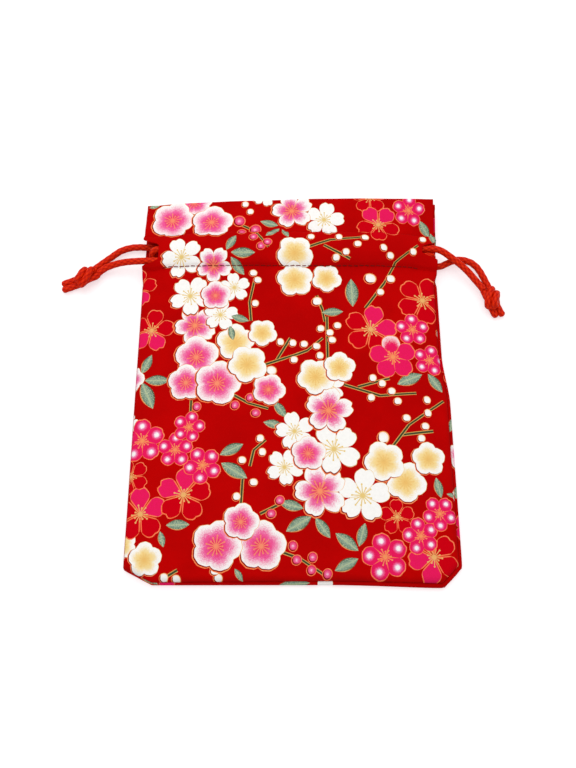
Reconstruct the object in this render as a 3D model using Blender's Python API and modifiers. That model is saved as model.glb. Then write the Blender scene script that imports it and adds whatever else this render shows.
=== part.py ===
"""Kinchaku drawstring pouch, lying on its back with its mouth towards +Y.

Two panels of printed cotton are sewn together along the sides and the bottom. Each panel is one
sheet of cloth that is turned in at the mouth and stitched down in two rows, which makes a channel.
Two braided cords run through both channels, each one knotted at its own side. All sizes are in
metres.
"""

import math

import bpy
import bmesh
from mathutils import Matrix, Vector

MM = 0.001

# Cloth and outline
WIDTH = 140 * MM
LENGTH = 179 * MM
CLOTH = 0.4 * MM
TOUCH_GAP = 0.3 * MM
LEFT_CHAMFER = (12 * MM, 6 * MM)
RIGHT_CHAMFER = (8 * MM, 8 * MM)
CORNER_REACH = 24 * MM

# Hem, stitch rows and side slits, measured down from the mouth
HEADER = 19 * MM
CHANNEL = 17.5 * MM
HEM_END = 6.5 * MM
SLIT_START = 7.5 * MM
SLIT_DEPTH = 7.5 * MM
SLIT_ROUND = 6 * MM
HEADER_INSET = 2 * MM

# Thickness of the pouch as it lies
SEAM_HEIGHT = 2.6 * MM
SHOULDER = 2.4 * MM
SHOULDER_FADE = 12 * MM
CROWN = 4.1 * MM
CROWN_REACH = 45 * MM
MOUTH_OPEN = 4.8 * MM
MOUTH_PITCH = 1 * MM
OPEN_HALF = 34 * MM
OPEN_FADE = 32 * MM
RIGHT_LIFT = 0.85

# Cords
CORD = 3 * MM
CORD_PLAY = 0.4 * MM
BEVEL_STEPS = 2
STEPS_PER_POINT = 2

MOUTH = LENGTH / 2
ROW_HIGH = MOUTH - HEADER
ROW_LOW = ROW_HIGH - CHANNEL
HEM_LOW = ROW_LOW - HEM_END
SEAM_TOP = ROW_LOW - SLIT_START
ROW_PITCH = CLOTH + TOUCH_GAP
CHANNEL_PITCH = CLOTH + CORD + 2 * CORD_PLAY
BACK_MID = CLOTH / 2
BACK_HEM_TOP = BACK_MID + CHANNEL_PITCH + CLOTH / 2
FRONT_HEM_SIDE = BACK_HEM_TOP + TOUCH_GAP + CLOTH / 2
FRONT_HEM_MIDDLE = BACK_HEM_TOP + MOUTH_OPEN + CLOTH / 2
FRONT_MOUTH_SIDE = BACK_MID + MOUTH_PITCH + CLOTH + 2 * TOUCH_GAP
FRONT_SEAM = SEAM_HEIGHT + 2 * TOUCH_GAP
HALF_WIDTH = (WIDTH - CLOTH) / 2
BOTTOM = -(LENGTH - CLOTH) / 2
FOLD_CENTRE = MOUTH - MOUTH_PITCH / 2 - CLOTH / 2

# Spacing of the sheet's columns from a side, and of its rows from the bottom seam, in millimetres:
# close together at the rolled edge
SIDE_STEPS = [0.0, 0.6, 1.8, 4, 8, 14, 22, 32, 44, 57]
BOTTOM_STEPS = [0.0, 0.6, 1.8, 4, 8, 14, 24, 38, 54, 72, 90]

# Routes of the two cords, in millimetres, chosen by hand: from the knot, through the front channel,
# round the hems' ends at the far side slit, back through the back channel and to the knot again
LEFT_ROUTE = [
    (-91.2, 52.9, 3.0), (-88.2, 55.2, 3.5), (-84.6, 56.6, 4.2), (-80.4, 57.3, 5.2), (-75.9, 57.5, 6.1),
    (-70.0, 57.3, 7.1), (-62.0, 57.4, 7.3), (-54.0, 57.6, 8.4), (-45.0, 57.8, 10.2), (-36.0, 58.0, 11.3),
    (-18.0, 58.4, 11.45), (0.0, 58.8, 11.45), (18.0, 59.1, 11.45), (36.0, 59.4, 11.3), (45.0, 59.5, 10.2),
    (54.0, 59.7, 8.4), (60.5, 59.8, 7.4), (63.6, 59.8, 7.3), (65.3, 60.1, 6.4), (65.8, 60.4, 4.9),
    (65.2, 60.8, 3.3), (63.6, 61.2, 2.4), (60.5, 61.4, 2.3), (45.0, 61.8, 2.3), (20.0, 62.9, 2.3),
    (0.0, 63.8, 2.3), (-20.0, 64.6, 2.3), (-45.0, 65.5, 2.3), (-62.0, 66.0, 2.3), (-66.8, 66.7, 2.5),
    (-71.5, 67.0, 2.7), (-76.4, 66.7, 2.7), (-81.4, 65.0, 2.6), (-85.8, 61.6, 2.5), (-89.6, 58.5, 2.4),
    (-92.5, 56.1, 2.3), (-94.2, 54.75, 2.3),
]
RIGHT_ROUTE = [
    (88.9, 43.9, 3.7), (87.3, 46.2, 4.0), (85.1, 48.9, 4.5), (82.3, 52.3, 5.2), (79.2, 55.3, 6.0),
    (76.3, 57.5, 6.8), (73.2, 59.7, 7.6), (69.8, 62.0, 8.1), (66.0, 63.4, 7.8), (62.0, 63.6, 7.4),
    (54.0, 63.6, 8.4), (45.0, 63.6, 10.2), (36.0, 63.6, 11.3), (18.0, 63.6, 11.45), (0.0, 63.5, 11.45),
    (-18.0, 63.5, 11.45), (-36.0, 63.4, 11.3), (-45.0, 63.4, 10.2), (-54.0, 63.4, 8.4), (-60.5, 63.4, 7.4),
    (-63.6, 63.2, 7.3), (-65.3, 62.4, 6.4), (-65.8, 61.3, 4.9), (-65.2, 60.2, 3.3), (-63.6, 59.6, 2.4),
    (-60.5, 59.4, 2.3), (-45.0, 59.1, 2.3), (-20.0, 58.6, 2.3), (0.0, 58.2, 2.3), (20.0, 57.8, 2.3),
    (45.0, 57.3, 2.3), (62.0, 57.0, 2.3), (66.5, 56.6, 2.3), (70.5, 57.2, 2.5), (74.5, 59.0, 2.9),
    (79.0, 60.1, 3.1), (83.8, 58.8, 3.1), (87.0, 56.0, 2.9), (89.2, 52.0, 2.6), (90.8, 48.2, 2.3),
    (91.9, 45.6, 2.1),
]

# Knots: middle, direction from the cord to the tails, and half sizes along, across and upright
KNOT_HEIGHT = 4.2
LEFT_KNOT_AT = Vector((-96.9, 50.5, KNOT_HEIGHT)) * MM
LEFT_KNOT_TURN = math.radians(202)
RIGHT_KNOT_AT = Vector((92.2, 39.1, KNOT_HEIGHT)) * MM
RIGHT_KNOT_TURN = math.radians(-66)
KNOT_HALF = Vector((4.9, 4.2, 3.7)) * MM
WRAP_RADIUS = 2.7 * MM
WRAP_HALF = Vector((2.4, 1.35)) * MM
WRAP_TILT = math.radians(32)
LEFT_TAIL = 7.2 * MM
RIGHT_TAIL = 4 * MM
TAIL_APART = 1.4 * MM
TAIL_SPLAY = math.radians(6)

CLOTH_COLOUR = (0.52, 0.002, 0.002, 1)
CORD_COLOUR = (0.50, 0.012, 0.004, 1)


def clear_scene():
    """Removes every object that the file opened with."""
    for thing in list(bpy.data.objects):
        bpy.data.objects.remove(thing, do_unlink=True)


def new_collection(name):
    """Makes a collection in the scene."""
    group = bpy.data.collections.new(name)
    bpy.context.scene.collection.children.link(group)
    return group


def finish_material(name, colour, roughness):
    """Makes a plain Principled material."""
    material = bpy.data.materials.new(name)
    material.use_nodes = True
    shader = material.node_tree.nodes["Principled BSDF"]
    shader.inputs["Base Color"].default_value = colour
    shader.inputs["Roughness"].default_value = roughness
    shader.inputs["Metallic"].default_value = 0.0
    return material


def ease(value):
    """Goes smoothly from 0 at 0 to 1 at 1, and stays there outside."""
    t = min(max(value, 0.0), 1.0)
    return t * t * (3 - 2 * t)


def mix(low, high, share):
    """Goes from low to high by share."""
    return low + (high - low) * share


def quarter_round(distance, radius):
    """Rises from 0 at the edge to 1 one radius in, as a quarter circle does."""
    t = min(max(distance / radius, 0.0), 1.0)
    return math.sqrt(1 - (1 - t) ** 2)


def chamfer_of(x):
    """The corner cut of the side that x is on: its size along the bottom and up the side."""
    return LEFT_CHAMFER if x < 0 else RIGHT_CHAMFER


def inside_chamfer(x, y):
    """How far a point is inside the corner's cut."""
    along, up = chamfer_of(x)
    from_side = HALF_WIDTH - abs(x)
    from_bottom = y - BOTTOM
    return (up * from_side + along * from_bottom - along * up) / math.hypot(along, up)


def draw_corner_in(x, y):
    """Moves the points near a bottom corner inwards, so that the corner's edge lies on its chamfer."""
    across = CORNER_REACH - (HALF_WIDTH - abs(x))
    down = CORNER_REACH - (y - BOTTOM)
    reach = max(across, down)
    if min(across, down) <= 0:
        return x, y
    edge_across = across / reach * CORNER_REACH
    edge_down = down / reach * CORNER_REACH
    along, up = chamfer_of(x)
    limit = up * CORNER_REACH + along * CORNER_REACH - along * up
    share = min(1.0, limit / (up * edge_across + along * edge_down))
    pull = mix(1.0, share, (reach / CORNER_REACH) ** 2)
    moved_x = HALF_WIDTH - CORNER_REACH + across * pull
    moved_y = BOTTOM + CORNER_REACH - down * pull
    return math.copysign(moved_x, x), moved_y


def from_edge(x, y):
    """Distance from the sewn outline."""
    return max(0.0, min(HALF_WIDTH - abs(x), y - BOTTOM, inside_chamfer(x, y)))


def opened(x):
    """1 across the middle of the mouth, where it stands open, and 0 at the sides."""
    return 1 - ease((abs(x) - OPEN_HALF) / OPEN_FADE)


def lifted(x):
    """1 where the mouth's edge stands highest, 0 at its left end, and RIGHT_LIFT at its right end."""
    return opened(x) if x < 0 else mix(RIGHT_LIFT, 1.0, opened(x))


def slit(y):
    """1 along a side slit and 0 away from it."""
    half = SLIT_ROUND / 2
    return ease((y - ROW_LOW + half) / SLIT_ROUND) * ease((ROW_HIGH + half - y) / SLIT_ROUND)


def pitch(y, low_ramp, high_ramp):
    """Distance between a panel's outer cloth and its hem, from middle to middle of the cloth."""
    if y > ROW_HIGH:
        return mix(ROW_PITCH, MOUTH_PITCH, ease((y - ROW_HIGH) / HEADER))
    bulge = ease((y - ROW_LOW) / low_ramp) * ease((ROW_HIGH - y) / high_ramp)
    return mix(ROW_PITCH, CHANNEL_PITCH, bulge)


def front_pitch(y):
    """Front panel: the channel rises gently over the cords."""
    return pitch(y, 4 * MM, 5 * MM)


def back_pitch(y):
    """Back panel: the hem rises over the cords, and the outer cloth lies flat."""
    return pitch(y, 3 * MM, 4.5 * MM)


def front_outer_height(x, y):
    """Height of the front panel's outer cloth."""
    channel = mix(FRONT_HEM_SIDE, FRONT_HEM_MIDDLE, opened(x))
    mouth = mix(FRONT_MOUTH_SIDE, FRONT_HEM_MIDDLE, lifted(x))
    if y >= ROW_LOW:
        return mix(channel, mouth, ease((y - ROW_HIGH) / HEADER)) + front_pitch(y)
    edge = from_edge(x, y)
    crown = 1 - (1 - min(edge / CROWN_REACH, 1.0)) ** 2
    body = FRONT_SEAM + SHOULDER * quarter_round(edge, SHOULDER) + CROWN * crown
    start = SEAM_TOP - SHOULDER_FADE * ease(edge / SHOULDER_FADE)
    return mix(body, channel + ROW_PITCH, ease((y - start) / (ROW_LOW - start)))


def back_outer_height(x, y):
    """Height of the back panel's outer cloth: flat, and rolled up to the seam at its edges."""
    roll = 1 - quarter_round(from_edge(x, y), SEAM_HEIGHT)
    return BACK_MID + (SEAM_HEIGHT - BACK_MID) * roll * (1 - ease((y - SEAM_TOP) / SLIT_START))


def front_side_cut(x, y):
    """How far the front panel's side edge lies inside the pouch's side."""
    inset = HEADER_INSET * ease((y - ROW_HIGH) / SLIT_ROUND) if x > 0 else 0.0
    return SLIT_DEPTH * slit(y) + inset


def back_side_cut(x, y):
    """The back panel's side edge is straight, all the way up to the mouth."""
    return 0.0


def hem_side_cut(x, y):
    """How far a hem's side edge lies inside the pouch's side: clear of the seam, wider to the mouth."""
    return mix(SLIT_DEPTH, TOUCH_GAP, ease((y - ROW_HIGH) / HEADER))


def cloth_rows():
    """Rows of a sheet as (y, share of the turn at the mouth): up, round the mouth and down the hem."""
    body = [BOTTOM + step * MM for step in BOTTOM_STEPS]
    body += [mix(body[-1], SEAM_TOP, n / 4) for n in range(1, 5)]
    body += [mix(SEAM_TOP, ROW_LOW, n / 3) for n in range(1, 3)]
    channel = [ROW_LOW + step * MM for step in (0.0, 1.3, 2.7, 4.2)]
    channel += [mix(ROW_LOW + 4.2 * MM, ROW_HIGH - 5 * MM, n / 3) for n in range(1, 4)]
    channel += [ROW_HIGH - step * MM for step in (3.4, 1.7, 0.0)]
    header = [mix(ROW_HIGH, FOLD_CENTRE, n / 4) for n in range(1, 5)]
    hem_low = [mix(HEM_LOW, ROW_LOW, n / 2) for n in range(2)]
    outer = [(y, 0.0) for y in body + channel + header]
    turn = [(FOLD_CENTRE, n / 4) for n in range(1, 4)]
    hem = [(y, 1.0) for y in reversed(hem_low + channel + header)]
    return outer + turn + hem


def cloth_columns():
    """Columns of a sheet, from the left side to the right."""
    left = [-HALF_WIDTH + step * MM for step in SIDE_STEPS]
    return left + [0.0] + [-x for x in reversed(left)]


def cloth_point(x, row, outer_height, side_cut, hem_turns_down, gap):
    """Place of one point of a sheet. gap is the distance from the outer cloth to the hem."""
    y, turned = row
    cut = mix(side_cut(x, y), max(side_cut(x, y), hem_side_cut(x, y)), turned)
    place_x = x * (HALF_WIDTH - cut) / HALF_WIDTH
    place_x, place_y = draw_corner_in(place_x, y)
    share = (1 - math.cos(math.pi * turned)) / 2
    depth = gap(y) * share
    height = outer_height(place_x, place_y) + (-depth if hem_turns_down else depth)
    return Vector((place_x, place_y + math.sin(math.pi * turned) * MOUTH_PITCH / 2, height))


def make_panel(name, group, material, outer_height, side_cut, hem_turns_down, gap):
    """Makes one panel: a grid of cloth put in its place, with the cloth's thickness added."""
    columns = cloth_columns()
    rows = cloth_rows()
    mesh = bpy.data.meshes.new(name)
    grid = bmesh.new()
    bmesh.ops.create_grid(grid, x_segments=len(columns) - 1, y_segments=len(rows) - 1, size=0.5)
    for vert in grid.verts:
        x = columns[round((vert.co.x + 0.5) * (len(columns) - 1))]
        row = rows[round((vert.co.y + 0.5) * (len(rows) - 1))]
        vert.co = cloth_point(x, row, outer_height, side_cut, hem_turns_down, gap)
    grid.to_mesh(mesh)
    grid.free()
    mesh.materials.append(material)
    mesh.shade_smooth()
    panel = bpy.data.objects.new(name, mesh)
    group.objects.link(panel)
    thickness = panel.modifiers.new("Cloth thickness", "SOLIDIFY")
    thickness.thickness = CLOTH
    thickness.offset = 0.0
    thickness.use_even_offset = True
    return panel


def smooth_route(points):
    """Reads points from a smooth curve that passes through the route's own points."""
    spots = [Vector(p) * MM for p in points]
    first = 2 * spots[0] - spots[1]
    last = 2 * spots[-1] - spots[-2]
    spots = [first] + spots + [last]
    smooth = []
    for n in range(1, len(spots) - 2):
        before, start, end, after = spots[n - 1:n + 3]
        for step in range(STEPS_PER_POINT):
            t = step / STEPS_PER_POINT
            bend = 2 * start + (end - before) * t
            bend += (2 * before - 5 * start + 4 * end - after) * t ** 2
            bend += (3 * start - before - 3 * end + after) * t ** 3
            smooth.append(bend / 2)
    smooth.append(spots[-2])
    return smooth


def make_cord(name, group, material, route):
    """Makes one cord as a round tube along its route."""
    points = smooth_route(route)
    curve = bpy.data.curves.new(name, "CURVE")
    curve.dimensions = "3D"
    curve.bevel_depth = CORD / 2
    curve.bevel_resolution = BEVEL_STEPS
    curve.use_fill_caps = True
    spline = curve.splines.new("POLY")
    spline.points.add(len(points) - 1)
    for spot, place in zip(spline.points, points):
        spot.co = (*place, 1)
    curve.materials.append(material)
    cord = bpy.data.objects.new(name, curve)
    group.objects.link(cord)
    return cord


def mesh_object(name, group, shape):
    """Makes an object from a bmesh."""
    mesh = bpy.data.meshes.new(name)
    shape.to_mesh(mesh)
    shape.free()
    mesh.shade_smooth()
    thing = bpy.data.objects.new(name, mesh)
    group.objects.link(thing)
    return thing


def knot_wrap():
    """One turn of doubled cord round the knot: a thick ring, tilted sideways."""
    ring = bmesh.new()
    turns = 16
    sides = 8
    circles = []
    for n in range(turns):
        around = Matrix.Rotation(2 * math.pi * n / turns, 4, "X")
        circle = []
        for m in range(sides):
            angle = 2 * math.pi * m / sides
            along = math.cos(angle) * WRAP_HALF.x
            outward = WRAP_RADIUS + math.sin(angle) * WRAP_HALF.y
            circle.append(ring.verts.new(around @ Vector((along, 0.0, outward))))
        circles.append(circle)
    for n in range(turns):
        here, following = circles[n], circles[(n + 1) % turns]
        for m in range(sides):
            k = (m + 1) % sides
            ring.faces.new((here[m], here[k], following[k], following[m]))
    tilt = Matrix.Rotation(WRAP_TILT, 3, "Z")
    bmesh.ops.rotate(ring, cent=(0, 0, 0), matrix=tilt, verts=ring.verts)
    bmesh.ops.recalc_face_normals(ring, faces=ring.faces)
    return ring


def knot_tail(side, length):
    """One free end: a stub of cord with a rounded tip, beside its twin."""
    tail = bmesh.new()
    bmesh.ops.create_uvsphere(tail, u_segments=10, v_segments=8, radius=CORD / 2)
    start = KNOT_HALF.x - CORD
    for vert in tail.verts:
        along = start if vert.co.z < -CORD / 40 else KNOT_HALF.x + length - CORD / 2
        vert.co = (vert.co.z + along, vert.co.y + TAIL_APART * side, vert.co.x)
    splay = Matrix.Rotation(TAIL_SPLAY * side, 3, "Z")
    drop = CORD / 2 + TOUCH_GAP - KNOT_HEIGHT * MM
    bmesh.ops.rotate(tail, cent=(start, 0, 0), matrix=splay, verts=tail.verts)
    bmesh.ops.translate(tail, vec=(0, 0, drop), verts=tail.verts)
    bmesh.ops.recalc_face_normals(tail, faces=tail.faces)
    return tail


def make_knot(name, group, cutters, material, place, turn, tail_length):
    """Makes one knot as one solid: its rounded body, the turn of cord round it and the two free ends."""
    body = bmesh.new()
    bmesh.ops.create_uvsphere(body, u_segments=16, v_segments=10, radius=1.0)
    bmesh.ops.scale(body, vec=KNOT_HALF, verts=body.verts)
    knot = mesh_object(name, group, body)
    knot.data.materials.append(material)
    seat = Matrix.Translation(place) @ Matrix.Rotation(turn, 4, "Z")
    knot.matrix_world = seat
    shapes = [knot_wrap(), knot_tail(1, tail_length), knot_tail(-1, tail_length)]
    for number, shape in enumerate(shapes):
        piece = mesh_object(f"{name}_shape_{number}", cutters, shape)
        piece.matrix_world = seat
        piece.hide_render = True
        piece.display_type = "WIRE"
        join = knot.modifiers.new(f"Join {number}", "BOOLEAN")
        join.operation = "UNION"
        join.object = piece
    return knot


def main():
    """Builds the pouch."""
    clear_scene()
    pouch = new_collection("kinchaku_pouch")
    cutters = new_collection("cutters")
    cotton = finish_material("printed_cotton", CLOTH_COLOUR, 0.8)
    braid = finish_material("braided_cord", CORD_COLOUR, 0.5)
    make_panel("back_panel", pouch, cotton, back_outer_height, back_side_cut, False, back_pitch)
    make_panel("front_panel", pouch, cotton, front_outer_height, front_side_cut, True, front_pitch)
    make_cord("left_drawstring", pouch, braid, LEFT_ROUTE)
    make_cord("right_drawstring", pouch, braid, RIGHT_ROUTE)
    make_knot("left_drawstring_knot", pouch, cutters, braid, LEFT_KNOT_AT, LEFT_KNOT_TURN, LEFT_TAIL)
    make_knot("right_drawstring_knot", pouch, cutters, braid, RIGHT_KNOT_AT, RIGHT_KNOT_TURN, RIGHT_TAIL)


main()
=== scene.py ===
"""Kinchaku drawstring pouch: two printed cotton panels with their stitching, two braided drawstrings
with their knots, and a plain stage.

Sizes in the settings are in metres. Tables of places are in millimetres, as they were chosen.
"""

import math

import bpy
from bpy.props import FloatProperty, FloatVectorProperty, PointerProperty
from mathutils import Matrix, Vector


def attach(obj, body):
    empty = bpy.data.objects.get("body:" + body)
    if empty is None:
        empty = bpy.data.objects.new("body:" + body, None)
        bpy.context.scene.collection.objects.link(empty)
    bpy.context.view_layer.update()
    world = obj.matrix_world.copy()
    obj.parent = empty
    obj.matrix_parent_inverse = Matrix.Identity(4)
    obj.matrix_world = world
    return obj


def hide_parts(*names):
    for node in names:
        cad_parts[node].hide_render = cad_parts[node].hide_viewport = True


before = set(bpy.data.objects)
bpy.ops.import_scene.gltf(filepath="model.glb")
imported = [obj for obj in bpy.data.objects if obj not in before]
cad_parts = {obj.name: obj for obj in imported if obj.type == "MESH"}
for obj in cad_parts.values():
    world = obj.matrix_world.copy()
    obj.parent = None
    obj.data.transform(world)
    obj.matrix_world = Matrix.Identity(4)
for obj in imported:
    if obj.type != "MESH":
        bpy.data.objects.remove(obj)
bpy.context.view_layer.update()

bl_info = {
    "name": "Kinchaku drawstring pouch",
    "version": (1, 0, 0),
    "blender": (4, 5, 0),
    "location": "View3D > Sidebar > Pouch",
    "description": "Models a printed cotton drawstring pouch with braided cords",
    "category": "Add Mesh",
}

MM = 0.001
TAU = 2 * math.pi
PETAL = TAU / 5

# The pouch's measures, as its frame has them
WIDTH = 140 * MM
LENGTH = 179 * MM
CLOTH = 0.4 * MM
HALF_WIDTH = (WIDTH - CLOTH) / 2
BOTTOM = -(LENGTH - CLOTH) / 2
MOUTH = LENGTH / 2
HEADER = 19 * MM
CHANNEL = 17.5 * MM
ROW_HIGH = MOUTH - HEADER
ROW_LOW = ROW_HIGH - CHANNEL
HEM_LOW = ROW_LOW - 6.5 * MM
SEAM_TOP = ROW_LOW - 7.5 * MM
ROW_PITCH = 0.7 * MM
CHANNEL_PITCH = 4.2 * MM
MOUTH_PITCH = 1 * MM
FOLD_CENTRE = MOUTH - MOUTH_PITCH / 2 - CLOTH / 2
SLIT_DEPTH = 7.5 * MM
SLIT_ROUND = 3.5 * MM
LEFT_SLIT = (54 * MM, 68 * MM)
RIGHT_SLIT = (57 * MM, 67 * MM)
HEADER_INSET = 1.7 * MM
HEADER_ROUND = 6 * MM
HEM_GAP = 0.3 * MM
LEFT_CHAMFER = (12 * MM, 6 * MM)
RIGHT_CHAMFER = (8 * MM, 8 * MM)
CORNER_REACH = 24 * MM
BACK_MID = CLOTH / 2
CHANNEL_SIDE = 5.1 * MM
CHANNEL_MIDDLE = 9.6 * MM
OPEN_HALF = 34 * MM
OPEN_FADE = 32 * MM
SEAM_HEIGHT = 2.9 * MM
FRONT_SEAM = 3.3 * MM
SHOULDER = 2.4 * MM
SHOULDER_FADE = 12 * MM
CROWN = 3.9 * MM
CROWN_REACH = 45 * MM
CORNER_BLEND = 1.5 * MM

# Height of the front hem at the mouth, from the left side to the right
MOUTH_HEIGHTS = [
    (-70, 2.2), (-66, 2.7), (-53, 4.9), (-38, 6.1), (-18, 7.3), (-4, 8.2), (12, 8.8), (30, 9.4), (48, 9.0),
    (66, 8.4), (70, 8.2),
]
MOUTH_BLEND = 5
ROW_BOW = 1.5 * MM
BOW_HALF = 14 * MM
BOW_END = 56 * MM
BOW_FADE = 10 * MM
BACK_LIFT = 3.6 * MM
BACK_LIFT_START = 20 * MM

# How the right side lies: drawn in along the header and more from the slit down, and lower at the bottom
SETTLED_FROM = 15 * MM
HEADER_WAIST = 0.9 * MM
WAIST = 2.3 * MM
WAIST_LOW = -12 * MM
WAIST_FADE = 24 * MM
BOTTOM_SAG = 1.3 * MM
SAG_TOP = -50 * MM

# Stitching
STITCHED_HALF = 61 * MM
STITCH_GROOVE = 0.42 * MM
GROOVE_HALF = 1.5 * MM
STITCH_RADIUS = 0.25 * MM
STITCH_SIDES = 6

# Rings of a stitch: share of its length, and thickness and height over the cloth in shares of its radius
STITCH_RINGS = ((0.0, 0.45, -0.6), (0.15, 1.0, 1.0), (0.85, 1.0, 1.0), (1.0, 0.45, -0.6))

# How far the seam lies inside the outline: left side, right side, bottom's left and right end, and the
# two corners' cuts
LEFT_INSET = 0.4 * MM
RIGHT_INSET = 1.7 * MM
BOTTOM_INSETS = (0.9 * MM, 1.9 * MM)
CORNER_INSETS = (0.7 * MM, 1.9 * MM)
INSET_FADE = 16 * MM
ROLL_BAND = 5 * MM

# How the channel's two sides rise from the stitch rows
FRONT_CHANNEL_SHAPE = 0.42
BACK_CHANNEL_RISE = 3 * MM
BACK_CHANNEL_FALL = 4.5 * MM

# Cells of the cloth: bands of small cells at the seams, the rows and the mouth, steps of the turn at the
# mouth, and how much larger the cells of the hidden hem are
SIDE_BAND = 5 * MM
SEAM_BAND = 6 * MM
ROW_BAND = 3 * MM
MOUTH_BAND = 2 * MM
TURN_STEPS = 8
TURN_LENGTH = 1.6 * MM
HEM_CELLS = 1.6
CHANNEL_HEM_CELLS = 1.3

# Waves of the cloth in millimetres: their height and how far they reach
BITE, BITE_REACH, BITE_LENGTH = 0.13, 1.8, 2.8
GATHER, GATHER_REACH = 0.20, 8
PUCKER, PUCKER_REACH = 0.16, 5
DENT, RIPPLE, DENT_START = 0.26, 0.09, 8

LEFT_ROUTE = [
    (-91.2, 52.9, 3.0), (-88.2, 55.2, 3.5), (-84.6, 56.6, 4.2), (-80.4, 57.3, 5.2), (-75.9, 57.5, 6.1),
    (-70.0, 57.3, 7.1), (-62.0, 57.4, 7.3), (-54.0, 57.6, 8.4), (-45.0, 57.8, 10.2), (-36.0, 58.0, 11.3),
    (-18.0, 58.4, 11.45), (0.0, 58.8, 11.45), (18.0, 59.1, 11.45), (36.0, 59.4, 11.3), (45.0, 59.5, 10.2),
    (54.0, 59.7, 8.4), (60.5, 59.8, 7.4), (63.6, 59.8, 7.3), (65.3, 60.1, 6.4), (65.8, 60.4, 4.9),
    (65.2, 60.8, 3.3), (63.6, 61.2, 2.4), (60.5, 61.4, 2.3), (45.0, 61.8, 2.3), (20.0, 62.9, 2.3),
    (0.0, 63.8, 2.3), (-20.0, 64.6, 2.3), (-45.0, 65.5, 2.3), (-62.0, 66.0, 2.3), (-66.8, 66.7, 2.5),
    (-71.5, 67.0, 2.7), (-76.4, 66.7, 2.7), (-81.4, 65.0, 2.6), (-85.8, 61.6, 2.5), (-89.6, 58.5, 2.4),
    (-92.5, 56.1, 2.3), (-94.2, 54.75, 2.3),
]
RIGHT_ROUTE = [
    (88.9, 43.9, 3.7), (87.3, 46.2, 4.0), (85.1, 48.9, 4.5), (82.3, 52.3, 5.2), (79.2, 55.3, 6.0),
    (76.3, 57.5, 6.8), (73.2, 59.7, 7.6), (69.8, 62.0, 8.1), (66.0, 63.4, 7.8), (62.0, 63.6, 7.4),
    (54.0, 63.6, 8.4), (45.0, 63.6, 10.2), (36.0, 63.6, 11.3), (18.0, 63.6, 11.45), (0.0, 63.5, 11.45),
    (-18.0, 63.5, 11.45), (-36.0, 63.4, 11.3), (-45.0, 63.4, 10.2), (-54.0, 63.4, 8.4), (-60.5, 63.4, 7.4),
    (-63.6, 63.2, 7.3), (-65.3, 62.4, 6.4), (-65.8, 61.3, 4.9), (-65.2, 60.2, 3.3), (-63.6, 59.6, 2.4),
    (-60.5, 59.4, 2.3), (-45.0, 59.1, 2.3), (-20.0, 58.6, 2.3), (0.0, 58.2, 2.3), (20.0, 57.8, 2.3),
    (45.0, 57.3, 2.3), (62.0, 57.0, 2.3), (66.5, 56.6, 2.3), (70.5, 57.2, 2.5), (74.5, 59.0, 2.9),
    (79.0, 60.1, 3.1), (83.8, 58.8, 3.1), (87.0, 56.0, 2.9), (89.2, 52.0, 2.6), (90.8, 48.2, 2.3),
    (91.9, 45.6, 2.1),
]
LEFT_EXIT = (-0.070, 0.0573, 0.0071)
RIGHT_EXIT = (0.070, 0.0620, 0.0081)
LEFT_KNOT = {"place": (-96.9, 50.5, 4.2), "turn": 202, "tail": 6.4, "enter": -1.5, "mirror": 1}
RIGHT_KNOT = {"place": (92.2, 39.1, 4.2), "turn": -66, "tail": 3.4, "enter": 0.65, "mirror": -1}

# An overhand knot in its own directions, from the cord to the tails: places of the doubled cord, and the
# way out of the knot that its flat side faces
KNOT_TURNS = [
    ((-4.6, -0.3, -0.9), (0, 0, 1)), ((-2.4, 0.0, -0.5), (0, 0, 1)), ((0.4, 0.5, -0.2), (0, 0, 1)),
    ((2.5, 1.5, 0.3), (0.3, 0.5, 0.8)), ((3.0, 2.3, 1.3), (0.6, 0.6, 0.5)), ((1.5, 1.8, 2.3), (0, 0.3, 1)),
    ((-0.9, -0.3, 2.55), (0, 0, 1)), ((-2.6, -2.3, 1.3), (-0.3, -0.8, 0.5)),
    ((-2.3, -2.6, -0.8), (-0.2, -0.9, -0.4)), ((-0.6, -1.4, -2.0), (0, -0.3, -1)),
    ((1.6, -0.4, -2.0), (0, 0, -1)), ((3.4, 0.0, -2.2), (0, 0, -1)),
]
STRAND_APART = 1.5 * MM
STRAND_SHIFT = 0.3
KNOT_START = -6.6
KNOT_START_DROP = -1.5
KNOT_REACH = 5.0
TAIL_LEVEL = 1.8
TAIL_UNEVEN = 0.7 * MM

# The braid: sides of a tube, strands each way round, height of a strand's crown in shares of the radius,
# and the relief at a cut end
BRAID_SIDES = 30
STRANDS = 5
BRAID_RISE = 0.085
CUT_RELIEF = 0.3

# The stage: the lamp's place and size, and the camera's place, the place that it looks at and its lens
LAMP_PLACE = Vector((-0.12, 0.42, 0.80))
LAMP_SIZE = 0.9
CAMERA_PLACE = Vector((-2.0, -123.1, 335.0)) * MM
CAMERA_AIM = Vector((-2.0, -1.15, 0.0)) * MM
LENS = 37.17
SENSOR_HEIGHT = 36
CLIP_START = 10 * MM

# The floor: how much it glows where it is seen, its glow's colour, and its colour where it is seen and where
# it only takes up light. The pink glow and the blue-green seen colour add up to white where the floor is lit,
# and leave a painted pink tint in its shadows, in place of light bounced off the red pouch.
FLOOR_GLOW = 0.69
PINK_SHADOW_GLOW = (1.0, 0.80, 0.83, 1)
FLOOR_SEEN_FOR_PINK_SHADOW = (0.48, 0.60, 0.58)
FLOOR_UNSEEN = (0.60, 0.60, 0.60)

# Depth of the materials' fine relief
BUMP_DEPTH = 0.1 * MM

# Kinds of printed motif. Blossoms come first, up to LAST_BLOSSOM, and those without gaps between their
# petals before the others.
PLUM, CHERRY, WHITE, CREAM, RED, PLAIN_RED, DOTTED, MAGENTA, LEAF, TWIG, BUD, PINK_BUD = range(1, 13)
LAST_FULL_BLOSSOM = CREAM
LAST_BLOSSOM = MAGENTA
KINDS = 16
SLOTS = 4

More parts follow.
